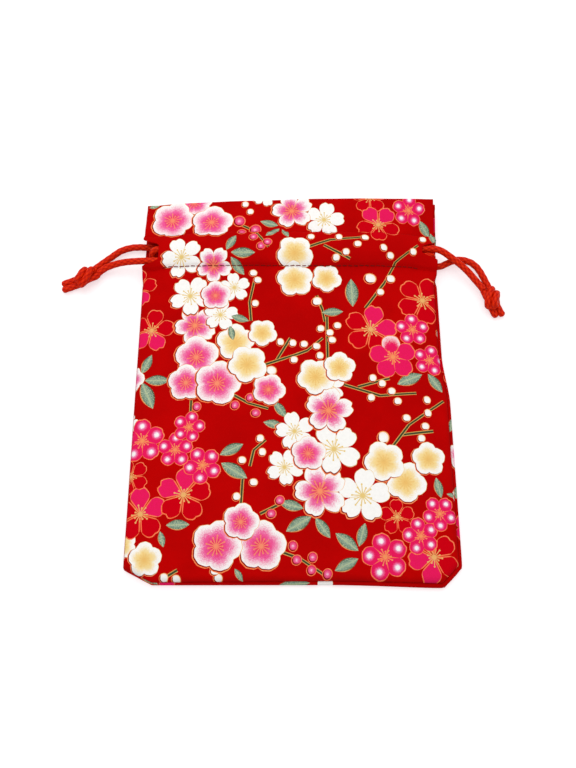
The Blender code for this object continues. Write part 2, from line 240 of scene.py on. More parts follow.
# The cloth's flat layout in the unit square: scale, place of its lower left corner, and its margin
MAP_SCALE = 0.00336
MAP_CORNER = (-71, -91)
MAP_MARGIN = 0.01

# Laying the print on the faces, in millimetres: side of the squares that the faces are sorted into, the
# spare round a motif, and the share of a petal that its outline takes
SQUARE = 5.0
PRINT_SPARE = 0.9
PETAL_LINE = 0.12
NOWHERE = 9.0

# The print: kind, middle, radius to a petal's tip and one petal's direction in degrees, from the top
# layer down
BLOSSOMS = [
    (PLUM, -35.0, 38.2, 6.9, 20), (WHITE, -26.5, 42.0, 6.8, 25), (WHITE, -32.5, 28.6, 7.6, 10),
    (CHERRY, -36.2, 52.8, 8.7, 54), (WHITE, -51.2, 57.4, 9.3, 37), (WHITE, -46.5, 38.2, 9.5, 57),
    (PLUM, -38.0, 76.5, 9.8, 11), (PLUM, -57.0, 79.5, 10.4, 66), (PLUM, -47.0, 89.5, 8.8, 18),
    (CREAM, -13.5, 19.5, 6.8, 55), (CREAM, -20.0, 4.5, 9.2, 45), (CREAM, -25.5, 15.0, 9.2, 19),
    (PLUM, -33.0, -4.3, 10.2, 5), (PLUM, -46.7, -3.8, 8.3, 20), (PLUM, -42.6, 8.2, 9.8, 22),
    (CHERRY, -43.8, 23.5, 10.2, 41), (PLUM, -10.5, -7.3, 7.2, 66),
    (CHERRY, -0.2, 82.6, 10.5, 30), (WHITE, 15.0, 77.4, 9.0, 5), (WHITE, -13.0, 91.8, 6.0, 0),
    (CREAM, 1.0, 46.0, 8.8, 25), (CREAM, 15.5, 46.5, 7.2, 58), (CREAM, 1.0, 58.0, 8.8, 52),
    (DOTTED, 55.2, 83.2, 8.0, 12), (RED, 40.5, 75.0, 10.6, 52), (RED, 36.8, 89.8, 9.0, 20),
    (DOTTED, 61.0, 7.5, 7.6, 5), (MAGENTA, 44.5, 8.3, 10.8, 96), (DOTTED, 54.0, 22.0, 8.0, 20),
    (RED, 35.0, 21.5, 12.2, 5), (PLAIN_RED, 59.5, 37.0, 12.4, 64),
    (CREAM, 20.5, 3.0, 7.4, 14), (CREAM, 10.0, -1.5, 8.8, 50), (CHERRY, 15.5, -16.8, 11.0, 10),
    (PLUM, 6.5, -36.0, 7.4, 15), (WHITE, 17.5, -34.0, 10.8, 44), (WHITE, 0.8, -26.2, 8.2, 30),
    (CHERRY, 11.3, -52.2, 11.8, 34), (WHITE, -3.5, -42.0, 7.6, 62), (WHITE, 29.0, -54.0, 10.8, 10),
    (WHITE, 15.5, -6.0, 7.0, 30),
    (CREAM, 38.5, -39.5, 9.2, 40), (CREAM, 57.5, -38.0, 7.6, 20), (CREAM, 47.2, -48.2, 9.2, 62),
    (DOTTED, 61.0, -61.0, 7.6, 54), (DOTTED, 52.5, -70.5, 7.9, 31), (DOTTED, 37.6, -78.8, 9.8, 32),
    (PLAIN_RED, 43.0, -62.8, 7.6, 20), (RED, 57.5, -79.0, 11.0, 188),
    (DOTTED, -44.5, -24.0, 7.2, 4), (DOTTED, -50.0, -34.0, 7.9, 17), (DOTTED, -38.0, -41.0, 8.4, 45),
    (DOTTED, -64.5, -29.6, 10.0, 22), (PLAIN_RED, -68.5, -45.2, 8.0, 40),
    (RED, -45.5, -53.5, 11.8, 85), (RED, -63.4, -61.2, 11.6, 22),
    (CREAM, -60.5, -79.9, 7.3, 20), (CREAM, -70.5, -74.0, 6.6, 40),
    (PLUM, -21.5, -64.8, 7.5, 5), (PLUM, -31.4, -74.6, 10.2, 0), (PLUM, -13.0, -74.5, 10.0, 10),
    (RED, -63.5, 22.0, 10.6, 223), (RED, -71.8, 44.0, 9.6, -132), (PLUM, -71.6, -0.9, 6.0, 0),
    (WHITE, -71.0, -21.2, 4.0, 0), (CHERRY, 70.5, 21.1, 6.0, 30), (WHITE, 70.0, -53.0, 3.0, 0),
]

# Leaves from stalk to tip
LEAVES = [
    (-30.3, 59.4, -26.1, 67.2), (-28.2, 58.2, -17.1, 58.0), (-28.2, 56.1, -22.1, 48.3),
    (-6.6, 74.1, -15.0, 76.7), (-6.0, 72.4, -12.3, 67.2), (-4.8, 72.0, -1.7, 66.3),
    (-19.6, 25.5, -27.6, 28.0), (-28.1, 23.2, -26.5, 16.2), (-66.9, 1.3, -62.7, 10.1),
    (-65.2, -1.9, -54.0, -2.4), (-66.4, -2.8, -60.8, -15.2), (60.5, 78.6, 64.6, 70.2),
    (65.5, 72.4, 66.3, 64.8), (27.3, 32.6, 26.8, 46.3), (13.3, 29.5, 22.8, 30.0), (57.1, 0.5, 45.8, -4.6),
    (59.8, 0.9, 65.8, -7.4), (-30.8, -36.6, -21.0, -31.9), (-19.1, -46.7, -30.2, -40.1),
    (-4.0, -23.9, -12.6, -22.1), (-2.8, -20.0, -8.1, -12.7), (-52.2, -66.1, -42.5, -65.9),
    (-54.6, -68.5, -52.9, -75.0), (4.4, -59.3, -5.6, -56.8), (7.7, -62.6, -2.8, -68.6),
    (9.3, -63.1, 15.3, -71.3), (27.0, -74.7, 29.7, -65.3), (26.7, -76.4, 17.5, -69.4),
    (26.6, -79.5, 17.0, -84.2), (60.4, -45.8, 62.1, -54.4), (64.6, -52.6, 69.0, -53.6),
    (-20.4, -88.1, -23.7, -83.4), (-69.0, 88.0, -64.0, 88.9),
]
LEAVES_ON_TOP = [(-28.1, 23.2, -26.5, 16.2), (-19.6, 25.5, -27.6, 28.0), (-22.1, 48.3, -28.2, 56.1)]
LEAF_WIDTH = 0.225
BUD_RADIUS = 2.0
TWIG_WIDTHS = (0.68, 0.6, 0.52)
GROWTH = {PLUM: 1.06, WHITE: 1.1, PINK_BUD: 1.15}
PRINT_REPEAT = 178.0

# Motifs of the back panel's rolled edges, which show past the front panel: kind, middle, half sizes, turn
BACK_CENTRE = (6.0, -8.0)
BACK_EDGE = (56.0, -78.0)
BACK_MOTIFS = [
    (LEAF, -59.5, -86.6, 5.0, 1.5, -30), (MAGENTA, -51.5, -94.2, 8.2, 8.2, 18),
    (LEAF, 0.4, -89.0, 6.6, 1.6, 4), (WHITE, 13.2, -94.4, 8.8, 8.8, 90), (LEAF, 69.5, -21.0, 3.6, 1.3, 75),
    (PLUM, 73.5, -35.0, 7.4, 7.4, 20), (LEAF, 69.6, -51.0, 3.0, 1.3, 80),
    (MAGENTA, 74.0, 80.0, 8.6, 8.6, 40), (LEAF, 69.6, 69.2, 3.4, 1.3, 95), (RED, 73.0, 6.0, 9.0, 9.0, 30),
    (MAGENTA, 74.0, -66.0, 7.0, 7.0, 0),
]

# Twigs as chains of points, from the thick end to the thin one
TWIGS = [
    [(7.5, 61.0), (17.5, 65.0), (34.5, 66.5)], [(14.5, 62.0), (26.5, 55.5)],
    [(33.0, 32.0), (42.0, 44.5), (47.5, 55.0), (58.5, 64.0)], [(-18.6, 25.5), (-19.4, 35.0), (-17.4, 45.0)],
    [(-12.0, 4.5), (-3.0, 7.5), (3.0, 9.5)], [(-7.0, 6.5), (-1.0, 17.0)],
    [(-27.0, -9.0), (-19.0, -13.5), (-10.5, -16.0)], [(-44.0, -12.0), (-44.0, -17.0)],
    [(-18.0, -41.5), (-16.5, -34.5), (-11.5, -30.0)], [(15.5, 27.5), (15.5, 6.5)],
    [(-1.0, 8.0), (6.5, 11.0), (13.5, 17.0)], [(22.5, -5.0), (38.0, -10.0), (54.0, -8.5)],
    [(28.5, -6.0), (42.5, -2.0)], [(41.5, -34.0), (50.0, -23.0), (66.0, -11.5)],
    [(46.5, -27.5), (60.5, -25.5)], [(-21.5, -57.5), (-21.0, -47.0)], [(-13.5, -61.5), (-5.5, -57.5)],
    [(-5.5, -76.5), (3.0, -79.5), (13.0, -86.0)], [(-27.0, 76.5), (-19.0, 72.0), (-11.0, 61.0)],
    [(11.0, 38.0), (13.5, 31.0), (14.5, 25.0)], [(-32.0, -83.5), (-31.0, -88.0)],
    [(-54.0, -88.0), (-47.0, -84.0)],
]
BUDS = [
    (-22.5, 87.0), (-20.0, 82.5), (8.5, 66.5), (21.5, 66.5), (30.0, 62.5), (33.5, 66.0), (24.5, 58.5),
    (20.0, 56.0), (61.0, 67.5), (56.0, 60.5), (42.0, 61.0), (45.0, 57.5), (45.0, 47.0), (40.0, 40.0),
    (-17.0, 34.0), (-16.0, 45.5), (-18.0, 49.0), (-5.5, 15.0), (0.0, 14.5), (0.5, 6.5), (-9.5, 1.5),
    (-14.0, -29.5), (-13.0, -35.5), (-21.5, -39.0), (12.5, 21.5), (20.0, 23.0), (16.5, 19.5), (17.5, 16.0),
    (10.5, 13.0), (5.0, 14.0), (12.0, 8.5), (35.0, -2.0), (39.0, -4.5), (34.0, -11.0), (43.0, -8.0),
    (45.5, -12.5), (58.5, -11.5), (58.5, -17.5), (49.0, -20.0), (57.0, -23.5), (55.0, -29.0), (38.5, -29.0),
    (-16.5, -48.5), (-23.5, -54.5), (-32.0, -84.5), (-30.5, -87.0), (-52.5, -87.0), (-47.5, -87.5),
    (35.5, 46.5), (11.0, 35.0),
]
PINK_BUDS = [
    (-25.0, 77.0), (-17.4, 71.8), (-23.6, 70.3), (-18.0, 66.4), (-11.5, 63.6), (-14.5, 61.4),
    (-25.0, -14.5), (-18.5, -11.0), (-16.0, -18.0), (-41.5, -15.0), (-5.5, -56.0), (-9.0, -61.5),
    (0.0, -74.5), (1.5, -80.0), (8.0, -79.0), (7.5, -84.0), (14.0, -85.5),
]
BUD_SIZES = {(35.5, 46.5): 3.0, (45.0, 47.0): 2.4, (38.5, -29.0): 3.0, (11.0, 35.0): 2.6, (-9.5, 1.5): 2.6,
             (-25.0, 77.0): 2.9, (-17.4, 71.8): 2.7}


class PouchClothSettings(bpy.types.PropertyGroup):
    """Sizes and colours of the printed cotton."""

    cell: FloatProperty(
        name="Cell", description="Size of the cloth mesh's cells", default=0.00105, unit="LENGTH"
    )
    edge_cell: FloatProperty(
        name="Edge cell", description="Size of the cells near the seams", default=0.0006, unit="LENGTH"
    )
    weave: FloatProperty(
        name="Weave", description="Distance between two threads", default=0.00036, precision=5, unit="LENGTH"
    )
    ground: FloatVectorProperty(
        name="Ground", description="Red of the cotton", default=(0.535, 0.0006, 0.0006), subtype="COLOR"
    )
    wrong_side: FloatVectorProperty(
        name="Wrong side",
        description="Red of the cotton's wrong side",
        default=(0.50, 0.004, 0.003),
        subtype="COLOR",
    )
    thread: FloatVectorProperty(
        name="Thread", description="Colour of the stitching", default=(0.24, 0.006, 0.004), subtype="COLOR"
    )
    stitch: FloatProperty(name="Stitch", description="Length of one stitch", default=0.0024, unit="LENGTH")
    stitch_gap: FloatProperty(
        name="Stitch gap", description="Gap between two stitches", default=0.0003, precision=5, unit="LENGTH"
    )


class PouchCordSettings(bpy.types.PropertyGroup):
    """Sizes and colours of the drawstrings."""

    diameter: FloatProperty(name="Diameter", description="Thickness of a cord", default=0.003, unit="LENGTH")
    ring: FloatProperty(
        name="Ring", description="Distance between a tube's rings", default=0.00036, unit="LENGTH"
    )
    diamond: FloatProperty(
        name="Diamond", description="Length of one diamond of the braid", default=0.0033, unit="LENGTH"
    )
    crown: FloatVectorProperty(
        name="Crown",
        description="Colour of the braid's strands",
        default=(0.74, 0.020, 0.001),
        subtype="COLOR",
    )
    # Painted shade: this darker red between the braid's strands stands in for the shade in the braid's gaps.
    gap: FloatVectorProperty(
        name="Gap",
        description="Colour between the braid's strands",
        default=(0.44, 0.004, 0.0),
        subtype="COLOR",
    )


class PouchStageSettings(bpy.types.PropertyGroup):
    """Floor, light and camera."""

    floor: FloatProperty(name="Floor", description="Side of the white floor", default=4.0, unit="LENGTH")
    sky: FloatProperty(name="Sky", description="Strength of the even light from all round", default=0.73)
    key: FloatProperty(name="Key lamp", description="Power of the large soft lamp", default=3.3, unit="POWER")


def ease(value):
    """Goes smoothly from 0 at 0 to 1 at 1, and stays there outside."""
    t = min(max(value, 0.0), 1.0)
    return t * t * (3 - 2 * t)


def mix(low, high, share):
    """Goes from low to high by share."""
    return low + (high - low) * share


def quarter_round(distance, radius):
    """Rises from 0 at the edge to 1 one radius in, as a quarter circle does."""
    t = min(max(distance / radius, 0.0), 1.0)
    return math.sqrt(1 - (1 - t) ** 2)


def chamfer_of(x):
    """The corner cut of the side that x is on: its size along the bottom and up the side."""
    return LEFT_CHAMFER if x < 0 else RIGHT_CHAMFER


def draw_corner_in(x, y):
    """Moves the points near a bottom corner inwards, so that the corner's edge lies on its chamfer."""
    across = CORNER_REACH - (HALF_WIDTH - abs(x))
    down = CORNER_REACH - (y - BOTTOM)
    reach = max(across, down)
    if min(across, down) <= 0:
        return x, y
    edge_across = across / reach * CORNER_REACH
    edge_down = down / reach * CORNER_REACH
    along, up = chamfer_of(x)
    limit = up * CORNER_REACH + along * CORNER_REACH - along * up
    share = min(1.0, limit / (up * edge_across + along * edge_down))
    pull = mix(1.0, share, (reach / CORNER_REACH) ** 2)
    moved_x = HALF_WIDTH - CORNER_REACH + across * pull
    moved_y = BOTTOM + CORNER_REACH - down * pull
    return math.copysign(moved_x, x), moved_y


def near_edges(x, y):
    """Distance from the sewn outline, the way inwards, and how far the seam lies inside the outline there."""
    along, up = chamfer_of(x)
    slope = math.hypot(along, up)
    side = math.copysign(1.0, x)
    cut = (up * (HALF_WIDTH - abs(x)) + along * (y - BOTTOM) - along * up) / slope
    edges = [
        (HALF_WIDTH + x, (1.0, 0.0), LEFT_INSET),
        (HALF_WIDTH - x, (-1.0, 0.0), RIGHT_INSET),
        (y - BOTTOM, (0.0, 1.0), mix(*BOTTOM_INSETS, (x + HALF_WIDTH) / WIDTH)),
        (cut, (-side * up / slope, along / slope), CORNER_INSETS[x > 0]),
    ]
    nearest = min(edge[0] for edge in edges)
    weights = [math.exp((nearest - edge[0]) / CORNER_BLEND) for edge in edges]
    total = sum(weights)
    inward_x = sum(w * edge[1][0] for w, edge in zip(weights, edges)) / total
    inward_y = sum(w * edge[1][1] for w, edge in zip(weights, edges)) / total
    inset = sum(w * edge[2] for w, edge in zip(weights, edges)) / total
    size = math.hypot(inward_x, inward_y) or 1.0
    return max(0.0, nearest), (inward_x / size, inward_y / size), inset


def opened(x):
    """1 across the middle of the mouth, where it stands open, and 0 at the sides."""
    return 1 - ease((abs(x) - OPEN_HALF) / OPEN_FADE)


def sewn(y):
    """1 along the sewn part of the sides, and 0 from the slits up."""
    return 1 - ease((y - SEAM_TOP) / (ROW_LOW - SEAM_TOP))


def slit(x, y):
    """1 along the side slit of x's side and 0 away from it."""
    low, high = LEFT_SLIT if x < 0 else RIGHT_SLIT
    return ease((y - low) / SLIT_ROUND) * ease((high - y) / SLIT_ROUND)


def mouth_height(x):
    """Height of the front hem at the mouth: the table's heights, rounded off between them."""
    total = 0.0
    for shift in (-MOUTH_BLEND, 0, MOUTH_BLEND):
        here = min(max(x / MM + shift, MOUTH_HEIGHTS[0][0]), MOUTH_HEIGHTS[-1][0] - 0.001)
        for (x0, z0), (x1, z1) in zip(MOUTH_HEIGHTS, MOUTH_HEIGHTS[1:]):
            if x0 <= here < x1:
                total += mix(z0, z1, (here - x0) / (x1 - x0))
    return total / 3 * MM


def front_pitch(y):
    """Distance from the front panel's outer cloth to its hem."""
    if y > ROW_HIGH:
        return mix(ROW_PITCH, MOUTH_PITCH, ease((y - ROW_HIGH) / HEADER))
    share = min(max((y - ROW_LOW) / CHANNEL, 0.0), 1.0)
    return mix(ROW_PITCH, CHANNEL_PITCH, math.sin(math.pi * share) ** FRONT_CHANNEL_SHAPE)


def back_pitch(y):
    """Distance from the back panel's outer cloth to its hem."""
    if y > ROW_HIGH:
        return mix(ROW_PITCH, MOUTH_PITCH, ease((y - ROW_HIGH) / HEADER))
    share = ease((y - ROW_LOW) / BACK_CHANNEL_RISE) * ease((ROW_HIGH - y) / BACK_CHANNEL_FALL)
    return mix(ROW_PITCH, CHANNEL_PITCH, share)


def wrinkle(x, y, edge):
    """Small waves of the cloth: puckers at the stitch rows and the seams, and soft dents in the body."""
    across, up, inside = x / MM, y / MM, edge / MM
    row = min(abs(y - ROW_LOW), abs(y - ROW_HIGH)) / MM
    bites = BITE * math.exp(-row / BITE_REACH) * math.sin(TAU * across / BITE_LENGTH)
    gathers = GATHER * math.exp(-row / GATHER_REACH)
    gathers *= math.sin(across * 0.62 + 1.1 * math.sin(across * 0.17 + 0.5))
    along = across + up * 1.3
    puckers = PUCKER * math.exp(-inside / PUCKER_REACH)
    puckers *= math.sin(along * 0.72 + 1.4 * math.sin(along * 0.11))
    dents = math.sin(across * 0.083 + 0.9 * math.sin(up * 0.041 + 1.0))
    dents *= math.sin(up * 0.067 + 1.2 * math.sin(across * 0.05 + 2.0))
    ripples = math.sin(across * 0.21 + up * 0.13 + 1.5 * math.sin(up * 0.09)) * RIPPLE
    body = (DENT * dents + ripples) * (1 - math.exp(-inside / DENT_START))
    return (bites + gathers + puckers + body) * MM


def front_height(x, y, edge):
    """Height of the front panel's outer cloth."""
    channel = mix(CHANNEL_SIDE, CHANNEL_MIDDLE, opened(x))
    if y >= ROW_LOW:
        return mix(channel, mouth_height(x), ease((y - ROW_HIGH) / HEADER)) + front_pitch(y)
    crown = 1 - (1 - min(edge / CROWN_REACH, 1.0)) ** 2
    body = FRONT_SEAM + SHOULDER * quarter_round(edge, SHOULDER) + CROWN * crown
    start = SEAM_TOP - SHOULDER_FADE * ease(edge / SHOULDER_FADE)
    return mix(body, channel + ROW_PITCH, ease((y - start) / (ROW_LOW - start)))


def settled(spot):
    """Moves a place of the cloth on the right side as the pouch lies: inwards, and down at the bottom."""
    share = ease((spot.x - SETTLED_FROM) / (HALF_WIDTH - SETTLED_FROM))
    waist = WAIST * ease((spot.y - WAIST_LOW) / WAIST_FADE)
    waist -= (WAIST - HEADER_WAIST) * ease((spot.y - RIGHT_SLIT[0]) / (ROW_HIGH - RIGHT_SLIT[0]))
    sag = BOTTOM_SAG * ease((SAG_TOP - spot.y) / (SAG_TOP - BOTTOM))
    return spot - Vector((share * waist, share * sag, 0.0))


def front_place(x, y):
    """Place of a point of the front panel's outer cloth, drawn in to the seam at the edges."""
    cut = SLIT_DEPTH * slit(x, y)
    if x > 0:
        cut += HEADER_INSET * ease((y - RIGHT_SLIT[1] + SLIT_ROUND) / HEADER_ROUND)
    place_x, place_y = draw_corner_in(x * (HALF_WIDTH - cut) / HALF_WIDTH, y)
    edge, inward, inset = near_edges(place_x, place_y)
    shift = inset * sewn(y) * (1 - ease(edge / INSET_FADE))
    place_x += inward[0] * shift
    place_y += inward[1] * shift
    height = front_height(place_x, place_y, edge) + wrinkle(place_x, place_y, edge)
    return settled(Vector((place_x, place_y + row_bow(place_x, place_y), height)))


def row_bow(x, y):
    """How far the lower stitch row lies nearer the mouth towards the sides, so that it looks straight."""
    share = (1 - opened(x)) * (1 - ease((abs(x) - BOW_END) / BOW_FADE))
    return ROW_BOW * share * math.exp(-((y - ROW_LOW) / BOW_HALF) ** 2)


def stitch_groove(y):
    """How far the stitch rows draw the back panel's cloth up from the floor."""
    rows = sum(math.exp(-((y - row) / GROOVE_HALF) ** 2) for row in (ROW_LOW, ROW_HIGH))
    return STITCH_GROOVE * rows


def back_place(x, y):
    """Place of a point of the back panel's outer cloth, rolled up to the seam at the edges."""
    flat_x, flat_y = draw_corner_in(x, y)
    edge, inward, inset = near_edges(flat_x, flat_y)
    lift = BACK_LIFT * ease((x - BACK_LIFT_START) / (HALF_WIDTH - BACK_LIFT_START))
    level = BACK_MID + lift * ease((y - ROW_HIGH) / HEADER) + stitch_groove(y)
    rise = (SEAM_HEIGHT - BACK_MID) / 2
    arc = math.pi * math.sqrt((inset ** 2 + rise ** 2) / 2)
    path = edge / ROLL_BAND * (arc + ROLL_BAND - inset)
    if edge >= ROLL_BAND:
        return settled(Vector((flat_x, flat_y, level)))
    if path < arc:
        angle = math.pi / 2 - math.pi * path / arc
        reach = inset * (1 - math.cos(angle))
        height = BACK_MID + rise * (1 + math.sin(angle))
    else:
        reach = inset + path - arc
        height = BACK_MID
    rolled = sewn(y)
    shift = (reach - edge) * rolled
    spot = Vector((flat_x + inward[0] * shift, flat_y + inward[1] * shift, mix(level, height, rolled)))
    return settled(spot)


def stops(low, high, cell, fine_low=0.0, fine_high=0.0, fine=0.0006):
    """Numbers from low to high, a cell apart, and closer together over the fine stretches at the two ends."""
    marks = [low]
    for start, end, step in (
        (low, low + fine_low, fine),
        (low + fine_low, high - fine_high, cell),
        (high - fine_high, high, fine),
    ):
        count = math.ceil((end - start) / step - 0.001)
        marks += [mix(start, end, (n + 1) / count) for n in range(count)]
    return marks


def cloth_rows(settings):
    """Rows of a panel as (height up the pouch, share of the turn at the mouth), up and down the hem."""
    cell, fine = settings.cell, settings.edge_cell
    outer = stops(BOTTOM, ROW_LOW, cell, SEAM_BAND, ROW_BAND, fine)
    outer += stops(ROW_LOW, ROW_HIGH, cell, ROW_BAND, ROW_BAND, fine)[1:]
    outer += stops(ROW_HIGH, FOLD_CENTRE, cell, ROW_BAND, MOUTH_BAND, fine)[1:]
    turn = [(FOLD_CENTRE, n / TURN_STEPS) for n in range(1, TURN_STEPS)]
    hem = stops(HEM_LOW, ROW_LOW, HEM_CELLS * cell)
    hem += stops(ROW_LOW, ROW_HIGH, CHANNEL_HEM_CELLS * cell)[1:]
    hem += stops(ROW_HIGH, FOLD_CENTRE, HEM_CELLS * cell)[1:]
    return [(y, 0.0) for y in outer] + turn + [(y, 1.0) for y in reversed(hem)]


def cloth_point(x, row, place, pitch, down):
    """Place of one point of a panel, on its outer cloth, in the turn at the mouth or on its hem."""
    y, turned = row
    spot = place(x, y)
    if turned > 0:
        hem_half = HALF_WIDTH - mix(SLIT_DEPTH, HEM_GAP, ease((y - ROW_HIGH) / HEADER))
        half = max(abs(place(math.copysign(HALF_WIDTH, x), y).x), 1 * MM)
        share = min(1.0, hem_half / half)
        spot.x *= mix(1.0, share, turned)
    depth = pitch(y) * (1 - math.cos(math.pi * turned)) / 2
    spot.z += -depth if down else depth
    spot.y += math.sin(math.pi * turned) * MOUTH_PITCH / 2
    return spot


def deselect_all():
    """Leaves nothing selected."""
    if bpy.context.object and bpy.context.object.mode != "OBJECT":
        bpy.ops.object.mode_set(mode="OBJECT")
    bpy.ops.object.select_all(action="DESELECT")


def take(piece):
    """Makes the piece the only selected and active object."""
    deselect_all()
    piece.select_set(True)
    bpy.context.view_layer.objects.active = piece


def flat_place(spot, row):
    """Place of a point of the cloth with its hem folded out flat, in millimetres."""
    y, turned = row
    if turned == 0:
        return spot.x / MM, spot.y / MM
    if turned == 1:
        return spot.x / MM, (2 * MOUTH - y) / MM
    return spot.x / MM, (MOUTH + (turned - 0.5) * TURN_LENGTH) / MM


def thicken(piece):
    """Gives the cloth its thickness, with the wrong side as its second material."""
    wall = piece.modifiers.new("Cloth", "SOLIDIFY")
    wall.thickness = CLOTH
    wall.offset = 0.0
    wall.use_even_offset = True
    wall.material_offset = 1
    bpy.ops.object.modifier_apply(modifier=wall.name)


def cloth_piece(name, settings, place, pitch, down):
    """Adds a grid, lays it out as one panel with its hem, and gives the cloth its thickness."""
    columns = stops(-HALF_WIDTH, HALF_WIDTH, settings.cell, SIDE_BAND, SIDE_BAND, settings.edge_cell)
    rows = cloth_rows(settings)
    deselect_all()
    bpy.ops.mesh.primitive_grid_add(
        x_subdivisions=len(columns) - 1, y_subdivisions=len(rows) - 1, size=1, calc_uvs=True
    )
    piece = bpy.context.object
    piece.name = name
    flats = {}
    for vert in piece.data.vertices:
        x = columns[round((vert.co.x + 0.5) * (len(columns) - 1))]
        row = rows[round((vert.co.y + 0.5) * (len(rows) - 1))]
        vert.co = cloth_point(x, row, place, pitch, down)
        flats[vert.index] = flat_place(vert.co, row)
    layout = piece.data.uv_layers[0]
    layout.name = "OFBake"
    for corner in piece.data.loops:
        layout.data[corner.index].uv = flats[corner.vertex_index]
    take(piece)
    if not down:
        bpy.ops.object.mode_set(mode="EDIT")
        bpy.ops.mesh.select_all(action="SELECT")
        bpy.ops.mesh.flip_normals()
        bpy.ops.object.mode_set(mode="OBJECT")
    thicken(piece)
    bpy.ops.object.shade_smooth()
    return piece


def petal_reach(kind, angle):
    """Distance from a blossom's middle to its outline, where 1 is a petal's tip."""
    centre = MOTIF_SHAPES[kind][0]
    side = abs((angle / PETAL + 0.5) % 1 - 0.5) * PETAL
    return centre * math.cos(side) + math.sqrt(max(0.0, (1 - centre) ** 2 - (centre * math.sin(side)) ** 2))


def piece_of(name, places, faces, material):
    """Makes one piece of these places and faces, with its material."""
    mesh = bpy.data.meshes.new(name)
    mesh.from_pydata(places, [], faces)
    mesh.materials.append(material)
    piece = bpy.data.objects.new(name, mesh)
    bpy.context.scene.collection.objects.link(piece)
    take(piece)
    return piece


def line_motif(kind, x0, y0, x1, y1, across):
    """A leaf or a piece of twig between two places, as (kind, middle, half sizes, turn in degrees)."""
    length = math.hypot(x1 - x0, y1 - y0)
    turn = math.degrees(math.atan2(y1 - y0, x1 - x0))
    return (kind, (x0 + x1) / 2, (y0 + y1) / 2, length / 2, across, turn)


def leaf_motif(leaf):
    """A leaf, as wide as its length asks."""
    return line_motif(LEAF, *leaf, LEAF_WIDTH * math.dist(leaf[:2], leaf[2:]))


def front_motifs():
    """The front panel's motifs, from the top layer down."""
    motifs = [leaf_motif(leaf) for leaf in LEAVES_ON_TOP]
    for kind, x, y, radius, turn in BLOSSOMS:
        size = radius * GROWTH.get(kind, 1.0)
        motifs.append((kind, x, y, size, size, turn))
    for kind, spots in ((BUD, BUDS), (PINK_BUD, PINK_BUDS)):
        for x, y in spots:
            radius = BUD_SIZES.get((x, y), BUD_RADIUS) * GROWTH.get(kind, 1.0)
            motifs.append((kind, x, y, radius, radius * 0.9, (x * 31 + y * 17) % 90))
    motifs += [leaf_motif(leaf) for leaf in LEAVES]
    for twig in TWIGS:
        for n in range(len(twig) - 1):
            motifs.append(line_motif(TWIG, *twig[n], *twig[n + 1], TWIG_WIDTHS[n]))
    return motifs


def back_motifs():
    """The back panel's motifs: the same print turned half round, with others along the edges that show."""
    turned = []
    for kind, x, y, along, across, turn in front_motifs():
        x, y = BACK_CENTRE[0] - x, BACK_CENTRE[1] - y
        if x < BACK_EDGE[0] and y > BACK_EDGE[1]:
            turned.append((kind, x, y, along, across, turn + 180))
    return BACK_MOTIFS + turned


def sorted_faces(mesh):
    """Corners of each face in the flat layout, and the faces' middles sorted into squares."""
    flat = mesh.uv_layers["OFBake"].data
    corners, squares = [], {}
    for face in mesh.polygons:
        spots = [tuple(flat[n].uv) for n in face.loop_indices]
        corners.append(spots)
        x = sum(s[0] for s in spots) / len(spots)
        y = sum(s[1] for s in spots) / len(spots)
        square = (math.floor(x / SQUARE), math.floor(y / SQUARE))
        squares.setdefault(square, []).append((face.index, x, y))
    return corners, squares


def near_faces(squares, x, y, reach):
    """The faces whose middles lie within a motif's reach."""
    columns = range(math.floor((x - reach) / SQUARE), math.floor((x + reach) / SQUARE) + 1)
    lines = range(math.floor((y - reach) / SQUARE), math.floor((y + reach) / SQUARE) + 1)
    found = [face for column in columns for line in lines for face in squares.get((column, line), ())]
    return [face for face in found if math.hypot(face[1] - x, face[2] - y) <= reach]


def own_place(motif, x, y):
    """Place of a point in a motif's own square, where the motif reaches from -1 to 1."""
    middle_x, middle_y, along, across, cos, sin = motif
    x, y = x - middle_x, y - middle_y
    return (x * cos + y * sin) / along, (y * cos - x * sin) / across


def hides_below(kind, here, along):
    """Tells whether a face lies wholly inside a blossom, so that no lower motif shows on it."""
    if kind > LAST_FULL_BLOSSOM:
        return False
    reach = petal_reach(kind, math.atan2(here[1], here[0]))
    return math.hypot(*here) < reach - PETAL_LINE - PRINT_SPARE / along


def lay_print(piece, motifs):
    """Gives each face the motifs that lie on it: where each one's own square is, its kind and its turn."""
    motifs = motifs + [(kind, x, y + PRINT_REPEAT, *rest) for kind, x, y, *rest in motifs]
    mesh = piece.data
    corners, squares = sorted_faces(mesh)
    loops = len(mesh.loops)
    places = [[NOWHERE] * (2 * loops) for _ in range(SLOTS)]
    kinds = [0.0] * (4 * loops)
    turns = [0.0] * (4 * loops)
    used = [0] * len(mesh.polygons)
    for kind, x, y, along, across, turn in motifs:
        turn = math.radians(turn)
        motif = (x, y, along, across, math.cos(turn), math.sin(turn))
        for index, face_x, face_y in near_faces(squares, x, y, max(along, across) + PRINT_SPARE):
            slot = used[index]
            here = own_place(motif, face_x, face_y)
            if slot >= SLOTS or (kind >= LEAF and abs(here[1]) > 1 + PRINT_SPARE / across):
                continue
            for loop, corner in enumerate(corners[index], mesh.polygons[index].loop_start):
                places[slot][2 * loop:2 * loop + 2] = own_place(motif, *corner)
                kinds[4 * loop + slot] = kind / KINDS
                turns[4 * loop + slot] = (turn / TAU) % 1
            used[index] = SLOTS if hides_below(kind, here, along) else slot + 1
    for slot in range(SLOTS):
        layer = mesh.uv_layers.new(name=f"Motif{slot}")
        layer.data.foreach_set("uv", places[slot])
    for name, values in (("motif_kinds", kinds), ("motif_turns", turns)):
        layer = mesh.attributes.new(name, "FLOAT_COLOR", "CORNER")
        layer.data.foreach_set("color", values)
    mesh.uv_layers.active = mesh.uv_layers["OFBake"]


